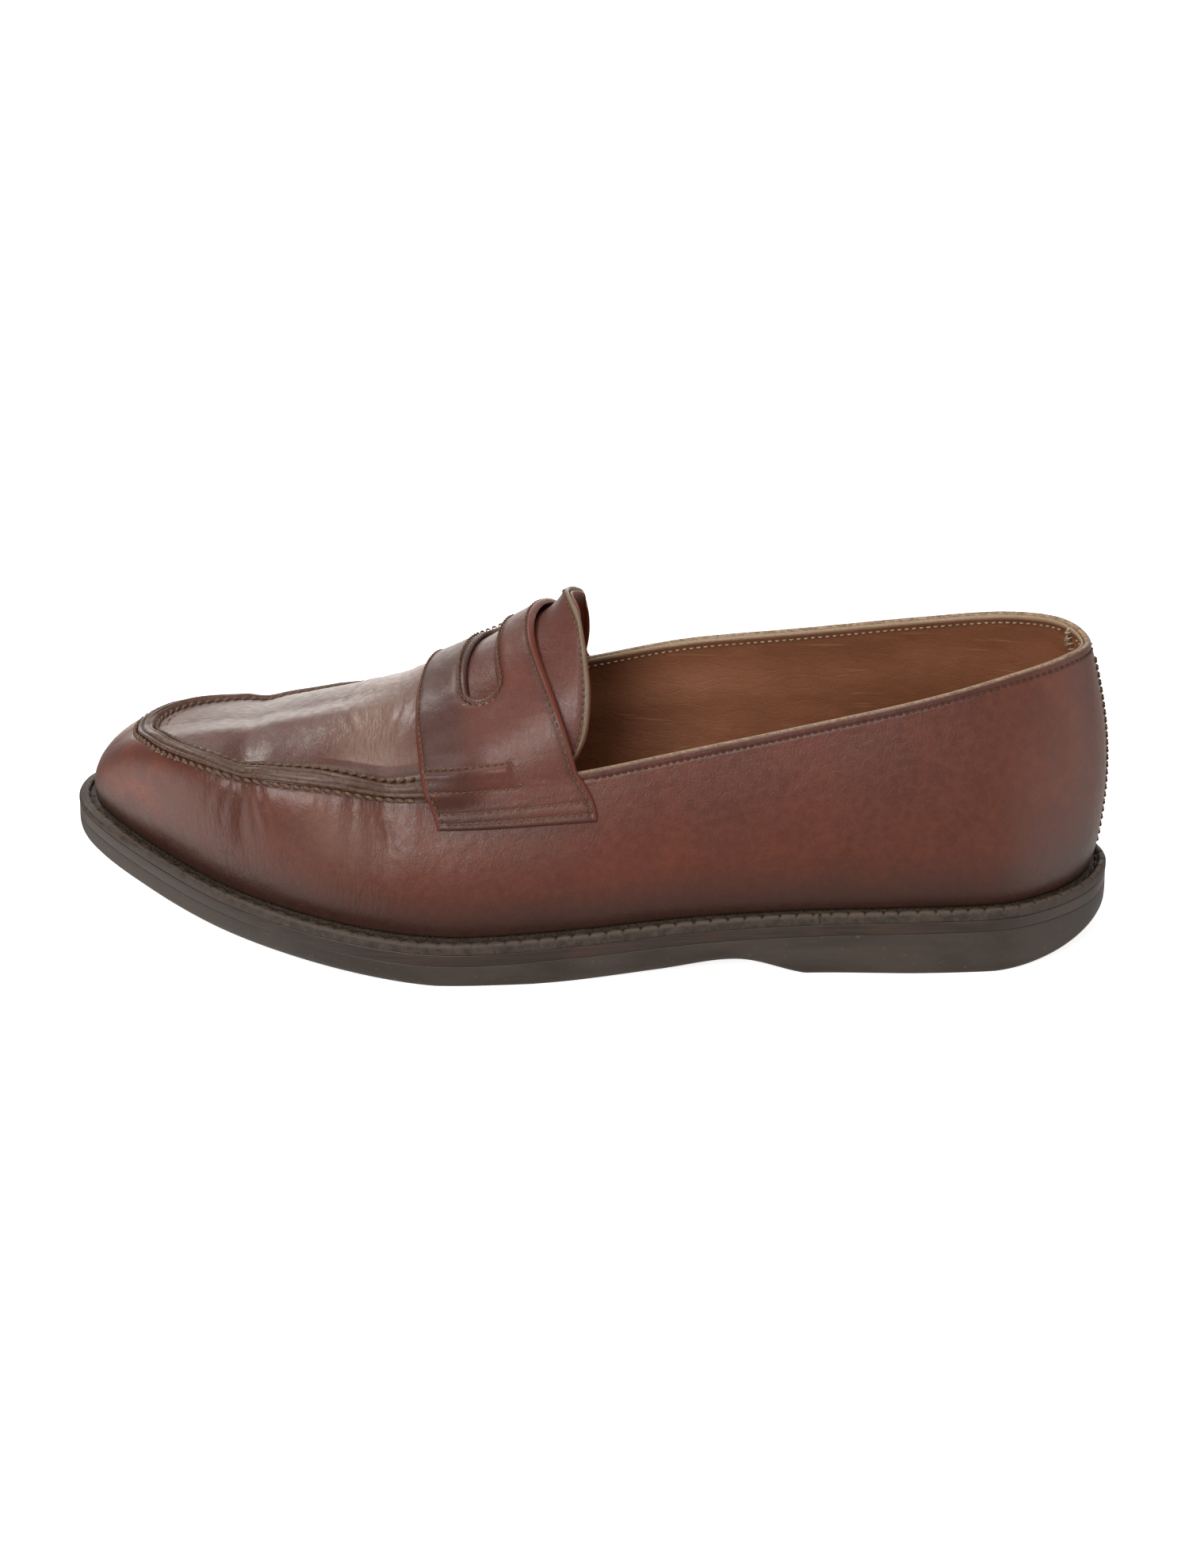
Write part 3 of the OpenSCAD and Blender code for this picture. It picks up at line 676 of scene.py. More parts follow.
def make_outsole():
    t = even_stations(560)
    worn = lattice_noise(underside_point(t, np.zeros(t.shape), 0), 14.0, 11)
    top = WELT_T + MIDSOLE_T + 0.03
    rings = [bottom_point(t, np.full(t.shape, i), d) for i, d in ((2.5, top), (0.36, top), (0.24, top + 0.08))]
    low = underside_point(t, np.full(t.shape, 0.35), 2.6)
    high = bottom_point(t, np.full(t.shape, 0.2), top + 0.3)
    for k, out in ((0.0, 0.0), (0.3, 0.06), (0.6, 0.08), (1.0, 0.0)):
        p = high * (1 - k) + low * k
        n = outward(t)
        p[:, :2] += n * (out + 0.1 * worn * k)[:, None]
        rings.append(p)
    for inset, rise in ((0.55, 1.7), (0.95, 0.95), (1.5, 0.4), (2.2, 0.08), (3.0, 0.0), (5.0, 0.0), (8.0, 0.0)):
        rings.append(underside_point(t, np.full(t.shape, inset) + 0.15 * worn, rise))
    rings = np.stack(rings)

    def tread(inner):
        """Shallow cross grooves under the ball of the foot and under the heel."""
        z = np.maximum(along(UNDERSIDE, inner[..., 0]), 0)
        strip = np.arange(inner.shape[0])[:, None]
        share = np.arange(1, inner.shape[1] + 1)[None, :] / (inner.shape[1] + 1)
        bars = (strip % 7 < 2) & (share > 0.06) & (share < 0.94)
        x = inner[..., 0]
        zone = ((x > -122) & (x < -14)) | ((x > 68) & (x < 132))
        return z + np.where(bars & zone, 1.0, 0.0)

    def top_of(inner):
        return along(WELT_TOP, inner[..., 0]) - top

    piece = plate("rubber_sole", rings, 24, top_z=top_of, base_z=tread)
    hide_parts("outsole")
    piece.data.set_sharp_from_angle(angle=math.radians(50))
    return piece


def make_midsole():
    t = even_stations(560)
    top, base = WELT_T + SEAT, WELT_T + MIDSOLE_T - 0.02
    profile = [(2.5, top), (0.42, top + 0.01), (0.26, top + 0.08), (0.2, top + 0.3), (0.2, (top + base) / 2),
               (0.18, base - 0.3), (0.22, base - 0.06), (0.34, base), (2.5, base)]
    rings = bottom_rings(t, profile)
    rings[2:7, :, :2] += (outward(t) * (0.07 * lattice_noise(rings[4], 5.0, 12))[:, None])[None]
    piece = plate("leather_midsole", rings, 8, top_z=lambda p: along(WELT_TOP, p[..., 0]) - top,
                  base_z=lambda p: along(WELT_TOP, p[..., 0]) - base)
    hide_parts("midsole")
    return piece


# Distance between the welt's stitches, and the x at which its outer lip has cracked
WELT_PITCH = 4.8
CRACK = 64.5


def make_welt():
    """A storm-free welt: a rounded outer lip pressed with a wheel, and a channel that holds the stitches."""
    t = even_stations(2400)
    d = edge_distances(t)
    jitter = 0.5 * lattice_noise(np.stack([d, 0 * d, 0 * d], -1), 5.0, 16)
    beat = np.abs(((d + jitter) / WELT_PITCH) % 1 - 0.5) * WELT_PITCH
    notch = np.exp(-(beat / 0.36) ** 2)
    waist = ease((loop_at(OUTLINE, t)[..., 0] + 50) / 60)
    feather = feather_inset(t)
    p = bottom_point(t, np.zeros(t.shape), 0)
    toe = ease((-126 - p[:, 0]) / 18)
    rough = 0.12 * lattice_noise(p, 3.0, 13) + 0.1 * lattice_noise(p, 11.0, 14)
    fibres = lattice_noise(np.stack([np.repeat(d[:, None], 4, 1) * 0.5,
                                     np.tile(np.arange(4.0) * 9, (len(d), 1)),
                                     np.zeros((len(d), 4))], -1), 1.2, 17)
    crack = np.exp(-((p[:, 0] - CRACK - 0.5 * lattice_noise(p, 1.3, 15)) / 0.35) ** 2) * (p[:, 1] < 0)
    # The lip from its foot over its top into the channel: (inset, depth, raggedness, notches, crack)
    lip = [(0.5, WELT_T, 0, 0, 0), (0.24, WELT_T - 0.02, 0.1, 0, 0.5), (0.14, WELT_T - 0.2, 0.2, 0, 0.8),
           (0.1, 2.2, 0.3, 0, 1), (0.1, 1.4, 0.4, 0.05, 1), (0.16, 0.85, 0.5, 0.12, 1),
           (0.34, 0.45, 0.6, 0.3, 1),
           (0.62, 0.18, 0.7, 0.55, 1), (0.98, 0.03, 0.8, 0.9, 1), (1.4, 0.0, 0.8, 1.0, 1),
           (1.8, 0.1, 0.7, 1.0, 1),
           (2.1, 0.36, 0.6, 0.7, 0.7), (2.35, 0.72, 0.5, 0.3, 0.4), (2.7, 0.98, 0.3, 0, 0)]
    rings = []
    for inset, depth, rag, press, split in lip:
        i = inset + rag * rough + 0.1 * press * notch * (inset < 0.8) + 0.9 * crack * split
        i = i + 0.12 * (fibres[:, 0] if inset > 1.9 else 0) + 1.5 * toe * (1 - ease(depth / 2.6)) * (inset < 2)
        press = press * (0.25 + 0.75 * waist)
        z = depth + 0.5 * press * notch - 0.5 * rag * rough + 1.3 * crack * split + 0.5 * toe * (depth < 1)
        rings.append(bottom_point(t, i, 0) - np.stack([0 * z, 0 * z, z], -1))
    for k, (inset, depth) in enumerate(((feather - 1.5, 1.05), (feather - 0.7, 0.9), (feather - 0.1, 0.6),
                                        (feather + 0.6, 0.35), (feather + 3.6, 0.35), (feather + 3.6, WELT_T))):
        ragged = 0.16 * fibres[:, min(k + 1, 3)] if k < 3 else 0 * t
        rings.append(bottom_point(t, inset, depth + ragged))
    sections = np.stack(rings, 1)
    # Painted highlight: the tops of the pressed pads between the notches are lightened.
    pad_tops_painted_highlight = np.zeros(sections.shape[:2])
    on_top = np.array([0.3, 0.7, 1, 1, 1, 0.4])[None]
    pad_tops_painted_highlight[:, 6:12] = on_top * (1 - 0.9 * notch)[:, None] * (0.45 + 0.55 * waist)[:, None]
    channel = np.zeros(sections.shape[:2])
    channel[:, 12:] = 1
    channel[:, 11] = 0.5
    piece = loft("welt_strip", sections, closed=True, attributes={"pad_tops_painted_highlight": pad_tops_painted_highlight, "channel": channel})
    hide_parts("welt")
    return piece


def make_welt_stitches():
    t = even_stations(2400)
    lengths = edge_distances(t)
    count = int(round(lengths[-1] / WELT_PITCH))
    middle = np.interp(np.arange(count) * WELT_PITCH, lengths, t)
    half = np.interp((np.arange(count) + 0.41) * WELT_PITCH, lengths, t) - middle
    inset = np.full(count, 2.95)
    a = bottom_point(middle - half, inset + 0.15, 0.95)
    b = bottom_point(middle + half, inset - 0.15, 0.9)
    n = np.tile(np.array([0, 0, 1.0]), (count, 1))
    n[:, :2] += 0.35 * outward(middle)
    piece = stitches("welt_thread", a, b, unit(n), 0.42, height=0.28)
    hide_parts("welt_stitching")
    return piece


# ---------------------------------------------------------------- the upper
def ring_of_stations():
    """Stations round the upper, closer together over the creased forefoot."""
    coarse, fine = 1 / 30, 1 / 64
    return np.concatenate([np.arange(0, 6.6, coarse), np.arange(6.6, 17.4, fine),
                           np.arange(17.4, STATIONS, coarse)])


def make_upper():
    t = ring_of_stations()
    front = seamed(t)
    v = np.concatenate([[0, 0.012, 0.03], np.linspace(0.055, 0.9, 58), np.linspace(0.912, 1, 22)])
    height = rim_speed(t)
    tt, vv = np.meshgrid(t, v, indexing="ij")
    p, n = wall_frame(tt, vv)
    below = (1 - vv) * height[:, None]
    groove = -0.34 * bump(below, 2.0, 1.25)
    thread = -0.16 * bump(below, 2.3, 0.9)
    edge = np.where(below < 0.6, -0.35 * (1 - below / 0.6) ** 2, 0)
    d = front[:, None] * groove + (1 - front[:, None]) * (thread + edge)
    d = d + 0.04 * lattice_noise(p, 1.7, 21)
    tuck = bottom_point(t, feather_inset(t) + 0.5, 0.34)
    outer = p + n * d[..., None]
    rim_n = n[:, -1]
    top = p[:, -1]
    up = unit(p[:, -1] - p[:, -3])
    rim = []
    for depth, rise in ((0.55, 0.1), (0.85, 0.14), (1.2, 0.1), (UPPER_T, 0.0)):
        rim.append(top - rim_n * depth + up * (rise * (1 - front))[:, None])
    inner = []
    for share in np.linspace(1, 0, 12)[1:]:
        k = np.full(t.shape, share)
        inner.append(wall_at(t, k, np.full(t.shape, -UPPER_T)))
    last = bottom_point(t, feather_inset(t) + 2.6, 0.34)
    rows = [tuck[:, None], outer, np.stack(rim, 1), np.stack(inner, 1), last[:, None]]
    sections = np.concatenate(rows, 1)
    raw = np.zeros(sections.shape[:2])
    first_rim = 1 + len(v)
    raw[:, first_rim - 3:first_rim] = np.array([0.1, 0.45, 0.9])
    raw[:, first_rim:first_rim + 4] = 1.0
    raw *= (1 - front)[:, None]
    raw[:, first_rim + 4:] = 1.0
    # Painted shade, with some dirt: the wall darkens towards the welt.
    low = np.zeros(sections.shape[:2])
    low[:, :1 + len(v)] = np.concatenate([np.ones(1), 1 - ease(v / 0.36)])[None]
    seam = np.zeros(sections.shape[:2])
    seam[:, 1:1 + len(v)] = front[:, None] * (1 - ease((below - 0.5) / 5.5)) \
        + (1 - front[:, None]) * (1 - ease((below - 1.2) / 2.6)) * 0.6
    flex = np.zeros(sections.shape[:2])
    x = p[..., 0]
    flex[:, 1:1 + len(v)] = (bump(x, -101, 20) + 0.8 * bump(x, -61, 17)) * ease(vv / 0.12)
    # A painted highlight: a pale patch at mid-height of the wall over the forward flex zone.
    pale_painted_highlight = np.zeros(sections.shape[:2])
    pale_painted_highlight[:, 1:1 + len(v)] = bump(x, -68, 24) * bump(vv, 0.6, 0.42)
    piece = loft("upper_leather", sections, closed=True,
                 attributes={"raw": raw, "low": low, "seam": seam, "flex": flex, "pale_painted_highlight": pale_painted_highlight})
    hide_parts("upper_wall")
    return piece


# Section of the apron's raised seam from its hidden inner face to the apron: (distance across, height)
SEAM_PROFILE = [(1.1, -1.5), (0.35, -1.45), (0.12, -0.9), (-0.1, -0.1), (-0.7, 0.06), (-1.05, 0.12),
                (-1.25, 0.28),
                (-1.32, 0.52), (-1.26, 0.78), (-1.1, 0.98), (-0.85, 1.1), (-0.55, 1.1), (-0.3, 0.96),
                (-0.14, 0.76),
                (-0.02, 0.74), (0.12, 0.9), (0.35, 1.16), (0.7, 1.32), (1.1, 1.38), (1.45, 1.34), (1.7, 1.22),
                (1.86, 1.08), (2.0, 1.08), (2.16, 1.2), (2.4, 1.24), (2.65, 1.16), (2.9, 0.94), (3.1, 0.64),
                (3.3, 0.36), (3.5, 0.14), (3.75, 0.0), (4.1, -0.08), (4.45, -0.04), (4.8, 0.06), (5.3, 0.1),
                (6.0, 0.06), (7.2, 0.0)]


def make_apron():
    t = np.arange(APRON_BACK, STATIONS - APRON_BACK + 1e-6, 1 / 64)
    s = np.array([k[0] for k in SEAM_PROFILE])
    h = np.array([k[1] for k in SEAM_PROFILE])
    tt, ss = np.meshgrid(t, s, indexing="ij")
    narrow = seam_narrow(tt)
    reach = np.where(ss < 4.8, ss * narrow, ss - 4.8 * (1 - narrow))
    p, n = across_seam(tt, np.where(ss < 0, ss * seamed(tt), reach))
    length = arc_length(loop_at(TOP_EDGE, t))
    ragged = lattice_noise(np.stack([length[:, None] + 0 * ss, ss * 6, 0 * ss], -1), 4.0, 31)
    fold = lattice_noise(np.stack([length[:, None] * 0.35 + 0 * ss, ss * 9, 0 * ss], -1), 3.0, 32)
    raised = ease((h + 0.1) / 0.6)[None, :]
    pull = bump((length / 2.9) % 1, 0.5, 0.55)[:, None] * bump(ss, -1.35, 0.9) * 0.1
    d = h[None, :] + raised * (0.1 * ragged + 0.12 * fold) - pull
    d = np.where(h[None, :] > 0, d * (seamed(t) * (0.6 + 0.4 * seam_narrow(t)))[:, None] + 0.02, d)
    band = p + n * d[..., None]
    levels = np.transpose(band, (1, 0, 2))[::-1]
    count = len(t)
    half = (count + 1) // 2
    cells = 110
    share = np.arange(1, cells) / cells
    at, aq = seam_spot(t, s[-1] - 4.8 * (1 - seam_narrow(t)))
    i = np.arange(0, half - 1)
    j = count - 1 - i
    ct = at[i][:, None] * (1 - share) + at[j][:, None] * share
    cq = aq[i][:, None] * (1 - share) + aq[j][:, None] * share
    top_p, top_n = arch_frame(ct, cq)
    first, other = levels[0][i], levels[0][j]
    flat_first, flat_other = arch_frame(at[i], aq[i])[0], arch_frame(at[j], aq[j])[0]
    fix = (first - flat_first)[:, None] * (1 - share)[..., None]
    fix = fix + (other - flat_other)[:, None] * share[..., None]
    top_p = top_p + fix + top_n * (0.04 * lattice_noise(top_p, 1.7, 21))[..., None]
    under = top_p - top_n * UPPER_T
    n_levels = len(levels)
    verts = np.concatenate([levels.reshape(-1, 3), top_p.reshape(-1, 3), under.reshape(-1, 3)])
    across = cells - 1
    top_base = n_levels * count
    under_base = top_base + (half - 1) * across
    faces = grid_faces(n_levels, count)

    def at_top(a, k, base, row):
        if a == half - 1 or k == 0:
            return row * count + (a if k < cells else count - 1 - a)
        return row * count + count - 1 - a if k == cells else base + a * across + k - 1
    for base, row, flip in ((top_base, 0, False), (under_base, n_levels - 1, True)):
        faces += strip_faces(half - 1, cells, lambda a, k: at_top(a, k, base, row), flip)
    back = [a * count for a in range(n_levels)]
    back = back + [at_top(0, k, under_base, n_levels - 1) for k in range(1, cells)]
    back += [a * count + count - 1 for a in range(n_levels - 1, -1, -1)]
    back += [at_top(0, k, top_base, 0) for k in range(cells - 1, 0, -1)]
    faces.append(back)
    size = len(verts)
    ridge, groove, seam, flex = np.zeros(size), np.zeros(size), np.zeros(size), np.zeros(size)
    s_of = np.repeat(s[::-1], count)
    h_of = np.repeat(h[::-1], count)
    ridge[:top_base] = ease((h_of - 0.2) / 0.5)
    # The groove mask is painted shade: it darkens the seam's creases, the ridge's inner foot and the low groove
    # of the outer stitches.
    crease_at = np.exp(-((s_of + 0.06) / 0.16) ** 2) + 0.7 * np.exp(-((s_of - 1.92) / 0.14) ** 2)
    foot_line = 0.5 * (1 - ease(np.abs(s_of - 3.8) / 0.7))
    groove[:top_base] = foot_line + (s_of < -1.0) * ease((0.6 - h_of) / 0.4) + crease_at
    seam[:top_base] = 1 - ease((s_of - 4.4) / 4.0)
    x = top_p[..., 0]
    seam_in = np.minimum(share, 1 - share)[None, :] * np.linalg.norm(first - other, axis=-1)[:, None] + 7.2
    seam[top_base:under_base] = (1 - ease((seam_in - 4.4) / 4.0)).ravel()
    # This mask brings wrinkles and a pale tint; the tint is a worn haze and a painted highlight over the flex
    # zones.
    flex[top_base:under_base] = (bump(x, -61, 22) + 0.5 * bump(x, -122, 10)).ravel()
    raw = np.zeros(size)
    raw[under_base:] = 1
    piece = make_mesh("apron_leather", verts, faces,
                      {"ridge": ridge, "groove": groove, "seam": seam, "flex": flex, "raw": raw})
    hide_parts("apron")
    return piece


def make_apron_stitches():
    """Two rows that hold the apron: slanted stitches below the raised seam and finer ones inside it."""
    pieces = []
    lo, hi = 7.25, STATIONS - 7.25
    for name, s, slant, pitch, radius, lift in (("seam_thread_outer", -2.1, 0.36, 2.9, 0.56, -0.06),
                                                ("seam_thread_inner", 4.1, -0.26, 2.7, 0.52, 0.04)):
        def line(k, s=s, slant=0.0):
            return across_seam(k, s * (seam_narrow(k) if s > 0 else 1) + slant)
        ts = spaced(lambda k: line(k)[0], lo, hi, pitch)
        a = ts[:-1]
        b = a + np.diff(ts) * 0.8
        pa, na = line(a, slant=-slant)
        pb, nb = line(b, slant=slant)
        n = unit(na + nb)
        pieces.append(stitches(name, pa + n * lift, pb + n * lift, n, radius, height=0.42))
    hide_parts("apron_stitching")
    return pieces


# ---------------------------------------------------------------- the saddle strap
# The slot's length and width, and its middle as a share of the strap's width from its back edge
SLOT_L, SLOT_W, SLOT_S = 44.0, 8.6, 0.43


def seam_lift(s, q):
    rise = (RIDGE_H + 0.25) * seamed(strap_station(s, q) + 0.1)
    past = np.abs(q) - SPLIT
    return rise * (1 - ease(np.where(past > 0, (past - 0.02) / 0.14, (-past - 0.05) / 0.09)))


def strap_frame(s, q):
    p = strap_base(s, q)
    n = normal(strap_base, s, q)
    return p + n * (0.3 + seam_lift(s, q) + 0.12 * lattice_noise(p, 14.0, 41))[..., None], n


def strap_scales():
    """Millimetres along the strap from its crest at each q, and its width at each q."""
    q = np.linspace(-1, 1, 801)
    d = arc_length(strap_base(np.full(q.shape, 0.5), q))
    front, back = strap_base(np.full(q.shape, 1.0), q), strap_base(np.full(q.shape, 0.0), q)
    width = np.linalg.norm(front - back, axis=-1)
    return q, d - np.interp(0, q, d), width


STRAP_Q, STRAP_Y, STRAP_W = strap_scales()


def strap_q(y):
    return np.interp(y, STRAP_Y, STRAP_Q)


def strap_width(q):
    return np.interp(q, STRAP_Q, STRAP_W)


# The stitched box at the strap's front edge: its start and end along the strap, and how far it goes back
BOX = (STRAP_Y[-1] - 20.4, STRAP_Y[-1] - 13.2, 26.0)
BOX_SLANT = 0.06


def rounded(delta, reach):
    """Share of the full thickness at a distance from a rounded edge."""
    x = np.clip(delta / reach, 0, 1)
    return np.sqrt(1 - (1 - x) ** 2)


def make_strap():
    half_slot = SLOT_L / 2
    radius = SLOT_W / 2
    tip = half_slot - radius
    a = np.sin(np.linspace(0, np.pi / 2, 14))
    ys = np.concatenate([np.linspace(0, tip, 16)[:-1], tip + radius * a])
    total = STRAP_Y[-1]
    rest = np.linspace(half_slot, total - 2.4, 62)[1:]
    edge = total - np.array([2.0, 1.6, 1.2, 0.9, 0.6, 0.35, 0.15, 0.04, 0.0])
    near = np.concatenate([ys, rest, edge])
    y = np.concatenate([-near[:0:-1], near])
    q = strap_q(np.clip(y, STRAP_Y[0], STRAP_Y[-1]))
    w = strap_width(q)
    centre = SLOT_S * w
    gap = np.where(np.abs(y) < tip, radius, np.sqrt(np.maximum(radius ** 2 - (np.abs(y) - tip) ** 2, 0)))
    gap = np.where(np.abs(y) >= half_slot - 1e-9, 0, gap)
    ease_in = np.array([0.0, 0.04, 0.15, 0.35, 0.6, 0.9, 1.3, 1.8, 2.4])

    def run(start, stop):
        """Positions from one edge to the other, close together at both."""
        length = stop - start
        inside = np.linspace(0, 1, 14)[1:-1]
        lo = start[:, None] + ease_in[None]
        hi = stop[:, None] - ease_in[None, ::-1]
        mid = (start + 2.4)[:, None] + (length - 4.8)[:, None] * inside[None]
        return np.concatenate([lo, mid, hi], 1)
    back = run(0 * w, centre - gap)
    front = run(centre + gap, w)
    x = np.concatenate([back, front], 1)
    yy = np.repeat(y[:, None], x.shape[1], 1)
    s = x / w[:, None]
    qq = np.repeat(q[:, None], x.shape[1], 1)
    split = back.shape[1]
    slot_far = np.hypot(x - centre[:, None], np.maximum(np.abs(yy) - tip, 0)) - radius
    ends = total - np.abs(yy)
    d_back, d_front = x, w[:, None] - x
    rise = rounded(d_back, 1.0) * rounded(ends, 0.8)
    bevel = 0.6 + 0.4 * ease(d_front / 1.5)
    rise = rise * rounded(d_front, 0.8) * bevel
    closed_slot = np.abs(yy) >= half_slot
    rise = rise * rounded(np.maximum(slot_far, 0), 0.7) * (0.6 + 0.4 * ease(slot_far / 4.0))
    down_box = np.abs(yy) - BOX_SLANT * d_front
    box = ease((down_box - BOX[0]) / 1.5) * ease((BOX[1] - down_box) / 3.0) * ease((BOX[2] - d_front) / 2.0)
    top_row = bump(down_box, BOX[0] + 1.9, 3.2) * ease((BOX[2] - d_front) / 2.0)
    in_box = (d_front < BOX[2] + 0.5)
    thread_dips = np.zeros(x.shape)
    for line in (d_back - 1.7, d_front - 1.7, slot_far - 1.7, ends - 2.2, ends - 5.4,
                 np.where(in_box, down_box - BOX[0], 9), np.where(in_box, down_box - BOX[1], 9)):
        thread_dips -= 0.16 * np.exp(-(line / 0.5) ** 2)
    p, n = strap_frame(s, qq)
    fine = 0.05 * lattice_noise(p * np.array([1, 1, 2.2]), 2.0, 42)
    thick = 0.25 + (STRAP_T - 0.25) * rise + 0.25 * box + 0.5 * top_row
    thick = thick + thread_dips * ease(rise) + fine * ease(rise)
    outer = p + n * thick[..., None]
    inner = p + n * (0.22 * (1 - rounded(np.minimum(np.minimum(d_back, d_front), ends), 0.6)))[..., None]
    ids = np.arange(x.size).reshape(x.shape)
    merge = np.abs(y) >= half_slot - 1e-9
    ids[merge, split] = ids[merge, split - 1]
    outer[merge, split] = outer[merge, split - 1]
    inner[merge, split] = inner[merge, split - 1]
    keep = np.ones((x.shape[0] - 1, x.shape[1] - 1), bool)
    keep[:, split - 1] = False
    slot_edge = np.where(closed_slot, 9.0, slot_far)
    attributes = {"front": 1 - ease((d_front - 0.8) / 0.5), "rear": 1 - ease((d_back - 0.4) / 0.7),
                  "cut": np.maximum(1 - ease(ends / 0.7), 1 - ease(slot_edge / 0.55)),
                  "seam": np.maximum.reduce([1 - ease((ends - 1) / 4), 1 - ease((d_back - 2) / 2.5) * 0.9,
                                             1 - ease((slot_edge - 0.5) / 3.5)]),
                  "worn": ease((9 - d_front) / 6) * ease((16 - ends) / 6),
                  # Painted shade: darker towards the front edge, fading out 24 mm back.
                  "forward": ease((24 - d_front) / 14)}
    piece = masked_skin("saddle_strap_leather", outer, inner, keep, attributes, ids)
    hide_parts("saddle_strap")
    return piece


def strap_surface(x, y):
    """Points and directions on top of the strap, x from its back edge and y along it, in mm."""
    q = strap_q(y)
    w = strap_width(q)
    p, n = strap_frame(x / w, q)
    down_box = np.abs(y) - BOX_SLANT * (w - x)
    box_top = 0.5 * bump(down_box, BOX[0] + 1.9, 3.2) * ease((BOX[2] - w + x) / 2.0)
    return p + n * (STRAP_T + box_top - 0.1)[..., None], n


def make_strap_stitches():
    """Rows along both long edges, round the slot, across both ends and round both boxes."""
    rows = []
    total = STRAP_Y[-1]
    from_edge = 1.7

    def row(path, lo, hi):
        rows.append(stitch_row(lambda k: strap_surface(*path(k)), lo, hi, 2.0, 0.74))
    end = total - 2.2
    row(lambda y: (np.full(y.shape, from_edge), y), -end, end)
    row(lambda y: (strap_width(strap_q(y)) - from_edge, y), -end, end)
    centre = SLOT_S * strap_width(np.array(0.0))
    r, tip = SLOT_W / 2 + from_edge, SLOT_L / 2 - SLOT_W / 2

    def slot_row(k):
        """Once round the slot, k from 0 to 4: side, end, side, end."""
        k = np.asarray(k) % 4
        out, back = np.clip(k, 0, 1) * 2 - 1, np.clip(k - 2, 0, 1) * -2 + 1
        turn_1, turn_2 = np.clip(k - 1, 0, 1) * np.pi, np.clip(k - 3, 0, 1) * np.pi
        part = [k < 1, k < 2, k < 3]
        x = np.select(part, [r + 0 * k, r * np.cos(turn_1), -r + 0 * k], -r * np.cos(turn_2))
        y = np.select(part, [tip * out, tip + r * np.sin(turn_1), tip * back], -tip - r * np.sin(turn_2))
        shift = SLOT_S * strap_width(strap_q(y)) - centre
        return centre + shift + x, y
    row(slot_row, 0, 4)
    for side in (-1, 1):
        for back in (2.2, 5.4):
            row(lambda x: (x, np.full(x.shape, side * (total - back))), 1.9,
                float(strap_width(np.array(side * 0.97))) - 1.9)
        w = float(strap_width(strap_q(np.array(side * BOX[0]))))
        for y in BOX[:2]:
            row(lambda x: (x, side * (y + BOX_SLANT * (w - x))), w - BOX[2], w - 1.9)
        slant = BOX_SLANT * BOX[2]
        row(lambda y: (np.full(y.shape, w - BOX[2]), side * y), BOX[0] + slant, BOX[1] + slant)
    piece = sew("strap_thread", rows, 0.3, 0.22)
    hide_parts("strap_stitching")
    return piece


# ---------------------------------------------------------------- the tongue
def smooth_table(points):
    """The (x, y) points with many more between them, on a smooth curve."""
    x = np.linspace(points[0][0], points[-1][0], 200)
    return np.stack([x, along(points, x)], -1)


# Where the tongue's free edge lies, from its outer side (0) to its inner side (1)
TONGUE_FREE = smooth_table([
    (0, 6.08), (0.04, 5.96), (0.09, 5.9), (0.17, 5.885), (0.25, 5.915), (0.33, 5.955), (0.42, 6.01),
    (0.5, 6.06),
    (0.58, 6.09), (0.65, 6.06), (0.72, 6.01), (0.79, 5.97), (0.86, 5.955), (0.92, 5.96), (0.97, 6.0),
    (1, 6.08)])


def tongue_edge(t):
    return 0.27 * ease((t - TONGUE_BACK - 0.12) / (TONGUE_ROOT - TONGUE_BACK - 0.12))


def tongue_back(share):
    """Station of the tongue's free edge: it swings back to both sides of the crest and has rounded corners."""
    return np.interp(share, TONGUE_FREE[:, 0], TONGUE_FREE[:, 1])


def tongue_frame(t, q):
    p = arch(t, q)
    n = normal(arch, t, q)
    raised = 4.8 * bump(q, 0.52, 0.27) - 0.6 * bump(q, 0.8, 0.16)
    raised = raised * (1 - ease((t - TONGUE_BACK - 0.05) / 0.4))
    return p + n * (raised - 1 - 2.6 * (2 * q - 1) ** 4)[..., None], n


def tongue_grid(trim):
    """(t, share) grid over the tongue: share runs across it, with its back corners rounded off."""
    u = np.concatenate([[0, 0.004, 0.012, 0.025, 0.045, 0.07], np.linspace(0.1, 1, 34)])
    rim = np.array([0, 0.003, 0.009, 0.018, 0.032])
    k = np.concatenate([rim, np.linspace(0.05, 0.95, 70), 1 - rim[::-1]])
    uu, kk = np.meshgrid(u, k, indexing="ij")
    back = tongue_back(kk) + trim
    t = back + (TONGUE_ROOT - trim - back) * uu
    e = tongue_edge(np.maximum(t, TONGUE_BACK)) + trim / 2
    q = e + (1 - 2 * e) * kk
    return t, q, uu, kk


def make_tongue(name, node, top, thickness, trim):
    t, q, uu, kk = tongue_grid(trim)
    p, n = tongue_frame(t, q)
    back = uu * 22.0
    side = np.minimum(kk, 1 - kk) * 62.0
    near = np.minimum(back, side)
    rise = rounded(near, 0.8)
    dip = -0.12 * np.exp(-((near - 1.9) / 0.5) ** 2) if top == 0 else 0
    outer = p - n * (top + thickness * 0.45 * (1 - rise) - dip)[..., None]
    inner = p - n * (top + thickness - thickness * 0.4 * (1 - rise))[..., None]
    keep = np.ones((t.shape[0] - 1, t.shape[1] - 1), bool)
    edge = 1 - ease((near - 0.9) / 0.7)
    piece = masked_skin(name, outer, inner, keep, {"raw": edge, "seam": 1 - ease((near - 1.2) / 2.6)})
    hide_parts(node)
    return piece


